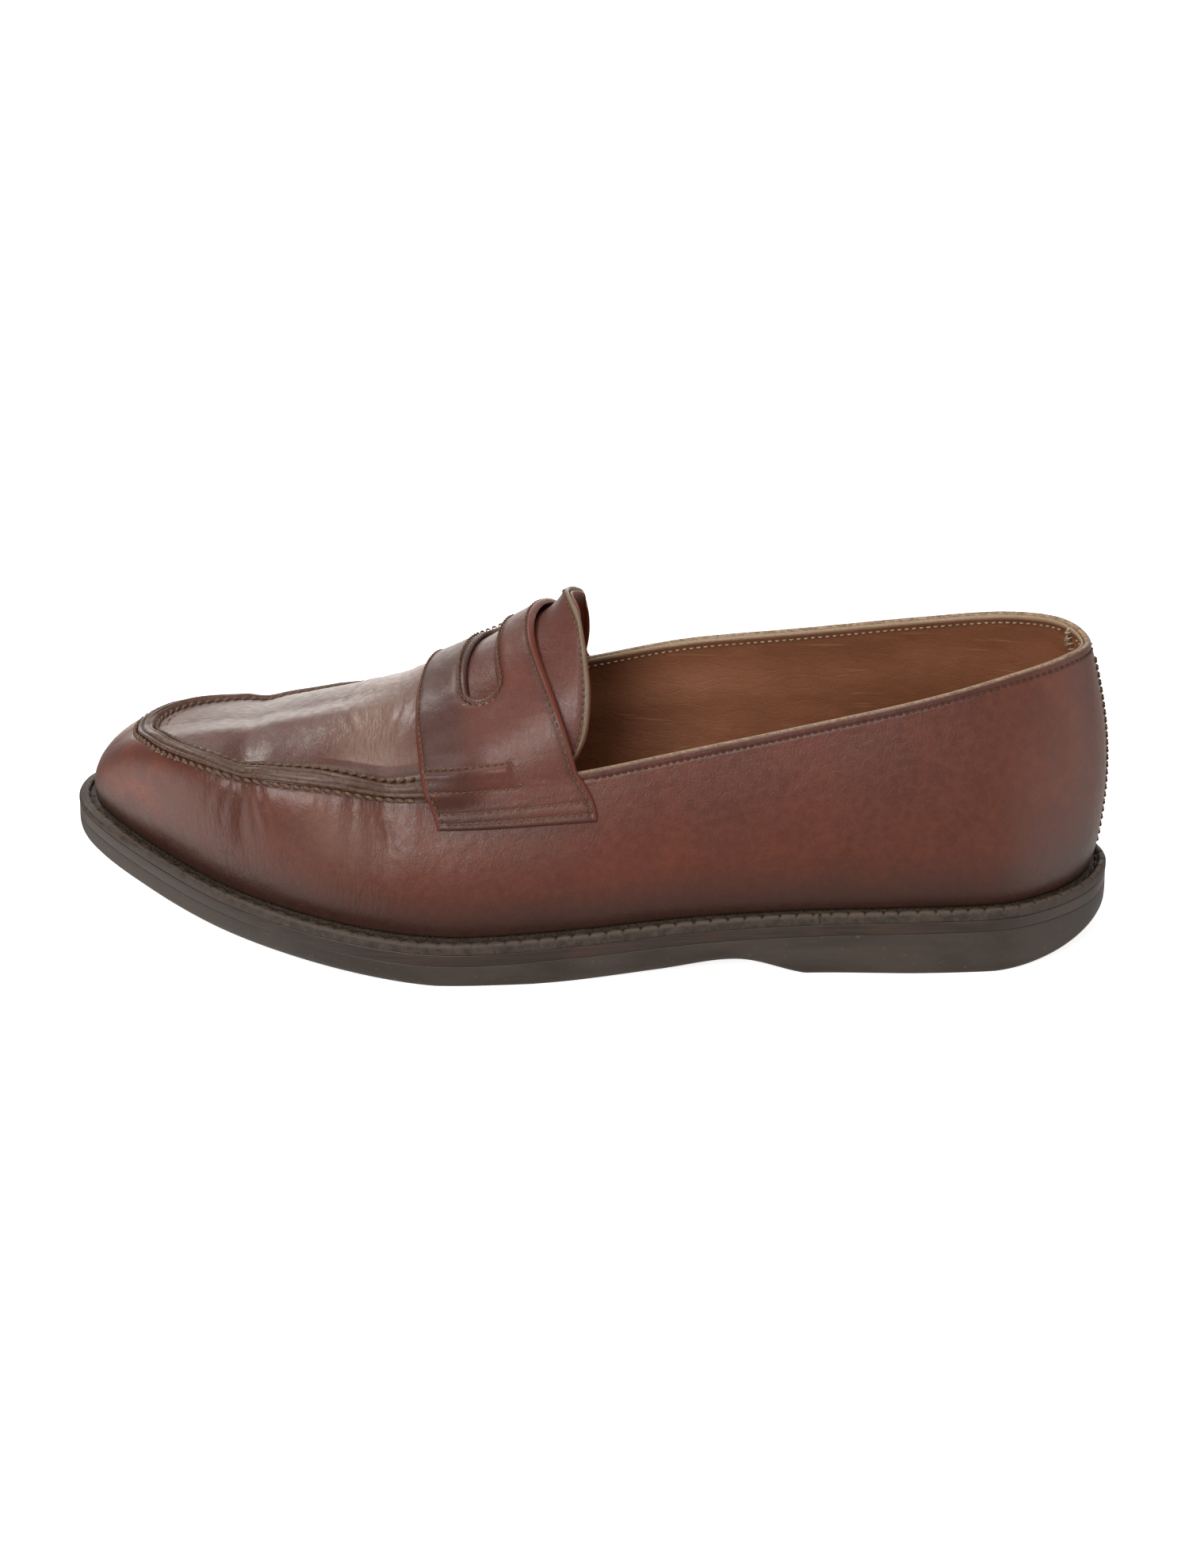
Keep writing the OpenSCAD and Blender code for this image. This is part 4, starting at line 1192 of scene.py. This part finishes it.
def make_tongue_stitches():
    def curve(k):
        """Round the tongue's free edge, k from 0 (outer side) to 1 (inner side)."""
        share = 0.035 + 0.93 * np.clip(k, 0, 1)
        back = tongue_back(share)
        t = back + (TONGUE_ROOT - back) * 0.085
        e = tongue_edge(t)
        return tongue_frame(t, e + (1 - 2 * e) * share)
    piece = sew("tongue_thread", [stitch_row(curve, 0, 1, 2.0)], 0.3, 0.22, -0.05)
    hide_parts("tongue_stitching")
    return piece


# ---------------------------------------------------------------- linings and inner parts
def lining_depth(v):
    """How deep the lining lies under the wall's face: it makes room for the counter low down."""
    counter_t, slack = 1.2, 0.6
    return UPPER_T + counter_t + slack - 1.5 * ease((v - 0.65) / 0.25)


def make_quarter_lining(name, node, lo, hi):
    t = np.arange(lo, hi + 1e-6, 1 / 30)
    v = np.concatenate([np.linspace(0.03, 0.9, 30), np.linspace(0.91, 1, 12)])
    tt, vv = np.meshgrid(t, v, indexing="ij")
    p, n = wall_frame(tt, vv)
    below = (1 - vv) * rim_speed(t)[:, None]
    puckers = 0.16 * lattice_noise(p * np.array([1.6, 1, 0.35]), 5.0, 51) * ease(below / 4) \
        + 0.25 * lattice_noise(p, 15.0, 52) * ease(below / 8)
    depth = lining_depth(vv)
    inside = depth + LINING_T + puckers - 0.12 * bump(below, 2.6, 1.0) - 0.3 * (1 - ease(below / 0.7))
    outer = p - n * (depth + 0.15 * (1 - ease(below / 0.5)))[..., None]
    inner = p - n * inside[..., None]
    up = unit(p[:, -1] - p[:, -3])
    crest = (outer[:, -1] + inner[:, -1]) / 2 + up * 0.12
    foot = outer[:, 0] * 0.5 + inner[:, 0] * 0.5
    sections = np.concatenate([inner, crest[:, None], outer[:, ::-1], foot[:, None]], 1)
    raw = np.zeros(sections.shape[:2])
    raw[:, len(v) - 1:len(v) + 2] = 1
    raw[:, len(v) - 2] = 0.6
    seam = np.zeros(sections.shape[:2])
    seam[:, :len(v)] = 1 - ease((below - 1.5) / 3)
    piece = loft(name, sections, attributes={"raw": raw, "seam": seam})
    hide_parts(node)
    return piece


# ---------------------------------------------------------------- the materials
def leather(name, dark, middle, warm):
    """Polished aniline leather: mottled dye, warm patches and dark specks."""
    m = Nodes(name)
    clouds = m.noise(28, 4, 0.55, warp=0.6)
    patch = m.noise(55, 5, 0.6, seed=3.1)
    mottle = m.noise(420, 4, 0.65, seed=1.7)
    speck = m.noise(2300, 2, 0.6)
    colour = m.mix(m.span(clouds, 0.3, 0.7, 0.25, 0.9), dark, middle)
    colour = m.tints(colour, (m.span(patch, 0.5, 0.78), 0.4, warm), (m.span(mottle, 0.35, 0.7), 0.28, warm),
                     (m.span(speck, 0.52, 0.72), 0.22, srgb(52, 30, 26)))
    return m, colour, patch, mottle


def leather_bumps(m, flex=None, grain=1.0):
    """Ripples, pebbles, grain, pores and cracks, and wrinkles where the leather flexes."""
    cracks = m.cells(520, "DISTANCE_TO_EDGE", stretch=(1.0, 1.0, 0.45))
    layers = [(m.noise(240, 3, 0.5), 0.04 * grain), (m.noise(760, 2, 0.5, seed=4.0), 0.02 * grain),
              (m.noise(1500, 4, 0.6), 0.08 * grain), (m.span(m.cells(2600), 0.0, 0.32), 0.05 * grain)]
    if flex is not None:
        lines = m.noise(900, 3, 0.5, stretch=(1.0, 0.28, 0.24), warp=0.4)
        layers.append((m.math("MULTIPLY", m.span(lines, 0.35, 0.62), flex), 0.14))
    layers.append((m.math("MULTIPLY", m.span(cracks, 0.0, 0.09), 0.7), 0.03 * grain))
    m.bumps(layers)


def upper_material():
    m, colour, patch, mottle = leather("red_brown_leather", srgb(87, 43, 31), srgb(104, 50, 35),
                                       srgb(128, 61, 38))
    raw, flex = m.attribute("raw"), m.attribute("flex")
    place = m.add("ShaderNodeSeparateXYZ")
    m.link(m.place, place.inputs[0])
    x, z = place.outputs["X"], place.outputs["Z"]
    near_toe = m.math("MULTIPLY", m.span(x, -0.114, -0.128), m.span(z, 0.034, 0.044))
    toe_blush = m.math("MULTIPLY", near_toe, m.span(patch, 0.38, 0.6))
    heel_blush = m.math("MULTIPLY", m.span(x, 0.085, 0.15), m.span(patch, 0.46, 0.66))
    # The darkening towards the welt is painted shade with some dirt.
    # The last, pale tint over the wall's forward flex zone is a painted highlight.
    colour = m.tints(colour, (toe_blush, 0.6, srgb(142, 64, 38)), (heel_blush, 0.25, srgb(140, 78, 48)),
                     ("seam", 0.55, srgb(58, 36, 28)), ("low", 0.8, srgb(58, 42, 36)),
                     (flex, 0.3, srgb(76, 50, 42)), ("pale_painted_highlight", 0.4, srgb(142, 112, 98)))
    fibre = m.noise(1900, 4, 0.7, stretch=(0.4, 0.4, 1.6))
    colour = m.mix(raw, colour, m.mix(m.span(fibre, 0.3, 0.7), srgb(112, 84, 66), srgb(196, 168, 138)))
    rough = m.math("ADD", m.span(mottle, 0.3, 0.7, 0.33, 0.46), m.math("MULTIPLY", raw, 0.4), clamp=True)
    leather_bumps(m, flex)
    return m.finish(colour, rough, Specular_IOR_Level=0.5, Coat_Weight=0.3, Coat_Roughness=0.28, Coat_IOR=1.5)


def apron_material():
    m, colour, patch, mottle = leather("apron_leather", srgb(76, 38, 28), srgb(96, 46, 33), srgb(116, 52, 34))
    ridge, flex = m.attribute("ridge"), m.attribute("flex")
    streak = m.noise(900, 4, 0.65)
    olive = m.mix(m.span(streak, 0.35, 0.68), srgb(76, 52, 42), srgb(120, 92, 74))
    # The flex zones' pale tint is a worn haze and a painted highlight.
    # The grooves' darkening is painted shade.
    colour = m.tints(colour, ("seam", 0.45, srgb(70, 48, 37)), (ridge, 0.6, olive),
                     ("groove", 0.5, srgb(46, 32, 26)),
                     (flex, m.span(patch, 0.3, 0.7, 0.4, 0.52), srgb(168, 142, 128)))
    fibre = m.noise(1900, 4, 0.7)
    colour = m.mix(m.attribute("raw"), colour, m.mix(fibre, srgb(128, 96, 74), srgb(186, 160, 134)))
    rough = m.math("ADD", m.span(mottle, 0.3, 0.7, 0.32, 0.44), m.math("MULTIPLY", ridge, 0.1), clamp=True)
    leather_bumps(m, flex)
    return m.finish(colour, rough, Specular_IOR_Level=0.5, Coat_Weight=0.22, Coat_Roughness=0.24, Coat_IOR=1.5)


def strap_material():
    m, colour, _, mottle = leather("strap_leather", srgb(90, 49, 41), srgb(107, 57, 47), srgb(126, 67, 49))
    spot = m.span(m.noise(130, 4, 0.6, seed=5.0), 0.5, 0.66)
    worn_spots = m.math("MULTIPLY", m.attribute("worn"), spot)
    # The front half is darkened by painted shade towards the front edge.
    colour = m.tints(colour, ("seam", 0.4, srgb(72, 36, 28)), (worn_spots, 0.7, srgb(170, 84, 34)),
                     ("forward", 0.6, srgb(62, 31, 24)), ("rear", 0.7, srgb(134, 66, 48)),
                     ("front", 0.65, srgb(128, 56, 40)), ("cut", 0.75, srgb(60, 36, 28)))
    leather_bumps(m, grain=1.3)
    return m.finish(colour, m.span(mottle, 0.3, 0.7, 0.36, 0.5), Specular_IOR_Level=0.4, Coat_Weight=0.2,
                    Coat_Roughness=0.26, Coat_IOR=1.5)


def tongue_material(name, dark, middle, raw_a, raw_b):
    m, colour, _, mottle = leather(name, dark, middle, srgb(122, 66, 52))
    colour = m.tints(colour, ("seam", 0.3, srgb(78, 42, 34)))
    colour = m.mix(m.attribute("raw"), colour, m.mix(m.noise(1700, 4, 0.7), raw_a, raw_b))
    leather_bumps(m, grain=1.3)
    return m.finish(colour, m.span(mottle, 0.3, 0.7, 0.34, 0.5), Specular_IOR_Level=0.5, Coat_Weight=0.2,
                    Coat_Roughness=0.3)


def lining_material(name, dark, middle, attributes):
    """Vegetable-tanned lining, glazed by wear, with scratches; attributes adds its seams and cut edges."""
    m = Nodes(name)
    clouds = m.noise(35, 5, 0.6, stretch=(0.6, 1, 1.4), warp=0.5)
    streaks = m.noise(330, 5, 0.65, stretch=(0.35, 1, 1.2), seed=2.0)
    fine = m.noise(2100, 3, 0.6)
    colour = m.mix(m.span(clouds, 0.3, 0.7, 0.3, 0.75), dark, middle)
    scratches = m.noise(260, 3, 0.6, stretch=(0.12, 0.12, 3.0), seed=7.0)
    colour = m.tints(colour, (m.span(streaks, 0.5, 0.72), 0.2, srgb(170, 112, 70)),
                     (m.span(fine, 0.5, 0.7), 0.2, srgb(84, 50, 28)),
                     (m.span(scratches, 0.62, 0.7), 0.35, srgb(196, 150, 112)))
    if attributes:
        colour = m.tints(colour, ("seam", 0.35, srgb(74, 42, 28)))
        fibre = m.noise(1500, 4, 0.7)
        colour = m.mix(m.attribute("raw"), colour, m.mix(fibre, srgb(140, 112, 84), srgb(200, 176, 148)))
    cracks = m.span(m.cells(300, "DISTANCE_TO_EDGE", stretch=(0.5, 1, 1.3)), 0.0, 0.08)
    m.bumps([(m.noise(190, 4, 0.6, stretch=(0.6, 1, 1.3)), 0.16), (cracks, 0.03), (fine, 0.04)])
    rough = m.span(streaks, 0.3, 0.7, 0.34, 0.52)
    return m.finish(colour, rough, Specular_IOR_Level=0.4, Coat_Weight=0.12, Coat_Roughness=0.3)


def raw_leather_material(name, light, deep, scale=1.0):
    """Undyed or edge-cut leather with a fibrous, felted look."""
    m = Nodes(name)
    fibre = m.noise(1300 * scale, 5, 0.7, warp=0.8)
    clouds = m.noise(60, 4, 0.6)
    colour = m.mix(m.span(fibre, 0.35, 0.68), deep, light)
    colour = m.tints(colour, (m.span(clouds, 0.4, 0.7), 0.4, deep))
    m.bumps([(m.noise(240, 4, 0.6), 0.12), (fibre, 0.08)])
    return m.finish(colour, m.span(fibre, 0.3, 0.7, 0.6, 0.8), Specular_IOR_Level=0.3)


def welt_material():
    """Waxed edge leather, almost black in the channel and grey-brown on the lip, whose pressed pads have a
    painted highlight on their tops.
    """
    m = Nodes("waxed_welt_leather")
    wax = m.noise(420, 4, 0.65, warp=0.4)
    dust = m.noise(1600, 3, 0.6)
    colour = m.mix(m.span(wax, 0.34, 0.68), srgb(56, 47, 42), srgb(82, 68, 60))
    # The pads' lighter tops are a painted highlight.
    colour = m.tints(colour, (m.span(dust, 0.56, 0.74), 0.3, srgb(116, 98, 80)),
                     ("pad_tops_painted_highlight", 0.7, srgb(104, 90, 79)))
    strands = m.mix(m.span(dust, 0.4, 0.66), srgb(28, 22, 18), srgb(74, 60, 44))
    colour = m.tints(colour, ("channel", 0.85, strands))
    m.bumps([(m.noise(330, 4, 0.6), 0.14), (wax, 0.1), (dust, 0.04)])
    return m.finish(colour, m.span(wax, 0.3, 0.7, 0.5, 0.68), Specular_IOR_Level=0.4, Coat_Weight=0.1,
                    Coat_Roughness=0.3)


def midsole_material():
    m = Nodes("stained_midsole_leather")
    layers = m.noise(420, 5, 0.65, stretch=(0.12, 0.12, 2.4))
    clouds = m.noise(70, 4, 0.6)
    colour = m.mix(m.span(layers, 0.34, 0.68), srgb(56, 46, 42), srgb(68, 55, 49))
    colour = m.tints(colour, (m.span(clouds, 0.45, 0.7), 0.35, srgb(86, 60, 46)))
    m.bumps([(layers, 0.06), (m.noise(900, 4, 0.6), 0.04)])
    return m.finish(colour, m.span(layers, 0.3, 0.7, 0.34, 0.52), Specular_IOR_Level=0.45, Coat_Weight=0.15,
                    Coat_Roughness=0.3)


def rubber_material():
    m = Nodes("dark_sole_rubber")
    smear = m.noise(45, 5, 0.6, stretch=(0.4, 0.4, 1.8), warp=0.6)
    dust = m.noise(700, 4, 0.65)
    colour = m.mix(m.span(smear, 0.34, 0.68), srgb(60, 51, 46), srgb(76, 66, 60))
    colour = m.tints(colour, (m.span(dust, 0.6, 0.78), 0.4, srgb(134, 118, 92)))
    m.bumps([(m.noise(120, 4, 0.6), 0.18), (dust, 0.06)])
    return m.finish(colour, m.span(smear, 0.3, 0.7, 0.4, 0.6), Specular_IOR_Level=0.45)


def thread_material(name, light, deep):
    """Waxed linen thread: its plies run across each stitch, and it has picked up polish."""
    m = Nodes(name)
    ply = m.noise(3200, 2, 0.5, stretch=(1, 1, 2.5))
    grime = m.noise(110, 4, 0.6)
    colour = m.mix(m.span(ply, 0.36, 0.64), deep, light)
    colour = m.tints(colour, (m.span(grime, 0.42, 0.66), 0.55, deep))
    m.bumps([(ply, 0.09)])
    return m.finish(colour, 0.55, Specular_IOR_Level=0.4)


def cork_material():
    m = Nodes("cork_paste")
    grains = m.cells(420, "F1")
    colour = m.mix(m.span(grains, 0.1, 0.6), srgb(150, 108, 68), srgb(74, 48, 30))
    m.bumps([(grains, 0.3)])
    return m.finish(colour, 0.8, Specular_IOR_Level=0.2)


def steel_material():
    m = Nodes("spring_steel")
    brush = m.noise(500, 4, 0.6, stretch=(0.05, 1, 1))
    colour = m.mix(brush, srgb(120, 122, 126), srgb(176, 178, 182))
    m.bumps([(brush, 0.03)])
    return m.finish(colour, m.span(brush, 0.3, 0.7, 0.28, 0.45), Metallic=1.0)


def dress_node(name, material):
    for slot in bpy.data.objects[name].material_slots:
        slot.material = material


# ---------------------------------------------------------------- the rest of the seams
def make_topline_stitches():
    def curve(t):
        return wall_frame(t, 1 - 2.3 / rim_speed(t))
    rows = [stitch_row(curve, lo, hi, 2.0) for lo, hi in ((0.06, 5.85), (18.15, 23.94))]
    piece = sew("topline_thread", rows, 0.3, 0.2, -0.12)
    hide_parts("topline_stitching")
    return piece


def make_lining_topline_stitches():
    """The same row as it shows on the lining's side."""
    def curve(t):
        v = 1 - 2.1 / rim_speed(t)
        p, n = wall_frame(t, v)
        return p - n * (lining_depth(v) + LINING_T - 0.04)[..., None], -n
    sides = ((LINING_SEAM - STATIONS + 0.25, 6.3), (17.7, LINING_SEAM - 0.2))
    return sew("topline_thread_inside", [stitch_row(curve, lo, hi, 2.05, 0.66) for lo, hi in sides], 0.24, 0.22)


def make_back_seam():
    """Fine stitches up both sides of the outer back seam, and whip stitches over the lining's seam."""
    def beside(side):
        return stitch_row(lambda v: wall_frame(np.full(v.shape, side), v), 0.07, 0.93, 2.3, 0.7)
    outer = sew("back_seam_thread", [beside(-0.05), beside(0.05)], 0.34, 0.3)
    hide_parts("back_seam_stitching")
    v = np.linspace(0.3, 0.975, 27)
    sides = []
    for t in (-0.085, 0.085):
        p, n = wall_frame(np.full(v.shape, LINING_SEAM + t), v + (0.012 if t > 0 else 0))
        sides.append((p - n * (lining_depth(v) + LINING_T)[:, None], -n))
    (pa, na), (pb, nb) = sides
    # A few frayed ends at the top of the seam
    strands = np.stack([np.arange(14), np.zeros(14), np.zeros(14)], -1) * 7.3
    fray, turn = lattice_noise(strands, 5.0, 61), lattice_noise(strands, 5.0, 62)
    top, top_n = wall_frame(LINING_SEAM + 0.05 * fray, 0.95 + 0.03 * turn)
    top = top - top_n * 2.9
    loose = top + np.stack([1.4 * turn - 0.6, 1.2 * fray, 0.9 + 0.8 * turn], -1)
    pa, pb = np.concatenate([pa, top]), np.concatenate([pb, loose])
    whip = stitches("lining_seam_thread", pa, pb, np.concatenate([unit(na + nb), -top_n]), 0.3, 0.9)
    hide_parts("lining_seam_stitching")
    return outer, whip


# ---------------------------------------------------------------- putting the shoe together
def settle(piece, body, slot, material):
    piece.data.materials.append(material)
    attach(piece, body)


def make_shoe():
    brown_thread = thread_material("brown_waxed_thread", srgb(142, 108, 78), srgb(70, 48, 36))
    pale_thread = thread_material("pale_thread", srgb(214, 200, 176), srgb(150, 130, 106))
    lining = lining_material("tan_lining_leather", srgb(128, 82, 60), srgb(162, 108, 78), True)
    seam_thread = thread_material("seam_thread", srgb(138, 110, 88), srgb(86, 64, 50))
    for piece, slot, material in (
            (make_outsole(), "rubber_sole", rubber_material()),
            (make_midsole(), "midsole_leather", midsole_material()),
            (make_welt(), "welt_leather", welt_material()),
            (make_welt_stitches(), "heavy_thread",
             thread_material("welt_thread", srgb(92, 76, 58), srgb(44, 34, 26))),
            (make_upper(), "upper_leather", upper_material()),
            (make_apron(), "upper_leather", apron_material()),
            *((row, "heavy_thread", seam_thread) for row in make_apron_stitches()),
            (make_strap(), "strap_leather", strap_material()),
            (make_strap_stitches(), "fine_thread", brown_thread),
            (make_quarter_lining("outer_quarter_lining", "quarter_lining_lateral",
                                 LINING_SEAM - STATIONS + 0.03, 6.8), "lining_leather", lining),
            (make_quarter_lining("inner_quarter_lining", "quarter_lining_medial", 17.2, LINING_SEAM - 0.03),
             "lining_leather", lining),
            (make_topline_stitches(), "fine_thread",
             thread_material("topline_thread", srgb(96, 64, 50), srgb(58, 38, 32))),
            (make_lining_topline_stitches(), "fine_thread", pale_thread),
            *((seam, "fine_thread", thread)
              for seam, thread in zip(make_back_seam(), (brown_thread, pale_thread)))):
        settle(piece, "shoe", slot, material)

    outer_leather = tongue_material("tongue_leather", srgb(88, 46, 38), srgb(110, 60, 50),
                                    srgb(104, 88, 70), srgb(150, 132, 108))
    back_leather = tongue_material("tongue_back_leather", srgb(110, 50, 34), srgb(140, 66, 42),
                                   srgb(134, 60, 38), srgb(150, 70, 44))
    settle(make_tongue("tongue_leather", "tongue", 0.0, 1.5, 0.0), "tongue", "upper_leather", outer_leather)
    settle(make_tongue("tongue_back_leather", "tongue_lining", 1.75, 1.0, -0.012), "tongue",
           "tongue_lining_leather", back_leather)
    settle(make_tongue_stitches(), "tongue", "fine_thread", brown_thread)

    plain_lining = lining_material("vamp_lining_leather", srgb(150, 112, 74), srgb(184, 146, 102), False)
    stiff = raw_leather_material("stiffener_board", srgb(196, 178, 146), srgb(150, 130, 100))
    for node, material in (
            ("insole_rib", raw_leather_material("rib_canvas", srgb(190, 168, 130), srgb(140, 118, 88), 0.7)),
            ("inseam_stitching", pale_thread), ("cork_filler", cork_material()), ("shank", steel_material()),
            ("insole", raw_leather_material("insole_leather", srgb(178, 134, 86), srgb(128, 88, 52))),
            ("heel_pad", lining_material("heel_pad_leather", srgb(96, 52, 26), srgb(140, 80, 40), False)),
            ("heel_counter", stiff), ("toe_puff", stiff), ("vamp_lining", plain_lining),
            ("apron_lining", plain_lining)):
        dress_node(node, material)


# ---------------------------------------------------------------- the studio
WARM_WHITE = (1, 0.97, 0.93)


def area_light(name, place, aim, size, power):
    data = bpy.data.lights.new(name, "AREA")
    data.shape = "RECTANGLE"
    data.size, data.size_y = size
    data.energy = power
    data.color = WARM_WHITE
    light = bpy.data.objects.new(name, data)
    light.location = place
    light.rotation_euler = (Vector(aim) - Vector(place)).to_track_quat("-Z", "Y").to_euler()
    bpy.context.scene.collection.objects.link(light)


def make_studio():
    reach = 6.0
    mesh = bpy.data.meshes.new("floor")
    corners = [(-reach, -reach, 0), (reach, -reach, 0), (reach, reach, 0), (-reach, reach, 0)]
    mesh.from_pydata(corners, [], [(0, 1, 2, 3)])
    floor = bpy.data.objects.new("floor", mesh)
    bpy.context.scene.collection.objects.link(floor)
    m = Nodes("pale_floor")
    paper = m.noise(900, 3, 0.6)
    colour = m.mix(paper, (0.93, 0.93, 0.93, 1), (0.97, 0.97, 0.97, 1))
    floor.data.materials.append(m.finish(colour, 0.9, Specular_IOR_Level=0.1, Emission_Color=(1, 1, 1, 1),
                                         Emission_Strength=0.8))
    floor.visible_diffuse = False
    floor.visible_glossy = False
    floor.visible_shadow = False
    make_world()
    area_light("top_box", (-0.15, -0.3, 1.15), (0, 0, 0.04), (0.9, 0.6), 4.5)
    area_light("front_box", (-0.42, -1.35, 0.68), (0, 0, 0.04), (0.6, 0.55), 10)
    area_light("back_box", (-0.62, 0.78, 0.96), (-0.06, 0, 0.06), (0.3, 0.24), 3)


def make_world():
    """A dim room with a bright wall behind, and a white table's glow at the toe, inner side and heel."""
    world = bpy.data.worlds.new("studio_white")
    bpy.context.scene.world = world
    world.use_nodes = True
    tree = world.node_tree
    place = tree.nodes.new("ShaderNodeTexCoord")
    total = 0.28
    for way, low, high, amount in (((0, 1, 0), 0.88, 0.99, 1.8), ((-0.82, -0.13, -0.56), 0.6, 0.98, 1.1),
                                   ((0.3, 0.6, -0.6), 0.5, 0.98, 0.3), ((0.93, -0.3, -0.2), 0.6, 0.98, 0.7)):
        dot = tree.nodes.new("ShaderNodeVectorMath")
        dot.operation = "DOT_PRODUCT"
        tree.links.new(place.outputs["Generated"], dot.inputs[0])
        dot.inputs[1].default_value = way
        glow = tree.nodes.new("ShaderNodeMapRange")
        glow.interpolation_type = "SMOOTHSTEP"
        tree.links.new(dot.outputs["Value"], glow.inputs["Value"])
        for key, value in (("From Min", low), ("From Max", high), ("To Max", amount)):
            glow.inputs[key].default_value = value
        add = tree.nodes.new("ShaderNodeMath")
        tree.links.new(glow.outputs["Result"], add.inputs[0])
        if isinstance(total, float):
            add.inputs[1].default_value = total
        else:
            tree.links.new(total, add.inputs[1])
        total = add.outputs[0]
    tree.links.new(total, tree.nodes["Background"].inputs["Strength"])
    tree.nodes["Background"].inputs["Color"].default_value = (1, 0.96, 0.91, 1)


def make_camera():
    lift, turn, away = math.radians(23), math.radians(2.5), 1.3
    target = Vector((0, 0, 41.5)) * MM + Vector(CENTRING) * MM
    camera = bpy.data.cameras.new("camera")
    camera.lens = 138.5
    camera.sensor_width = 36
    camera.sensor_fit = "HORIZONTAL"
    obj = bpy.data.objects.new("camera", camera)
    way = Vector((math.sin(turn) * math.cos(lift), -math.cos(turn) * math.cos(lift), math.sin(lift)))
    obj.location = target + way * away
    obj.rotation_euler = (-way).to_track_quat("-Z", "Y").to_euler()
    bpy.context.scene.collection.objects.link(obj)
    bpy.context.scene.camera = obj


bpy.context.scene.view_settings.view_transform = "Standard"
make_camera()
make_studio()
make_shoe()
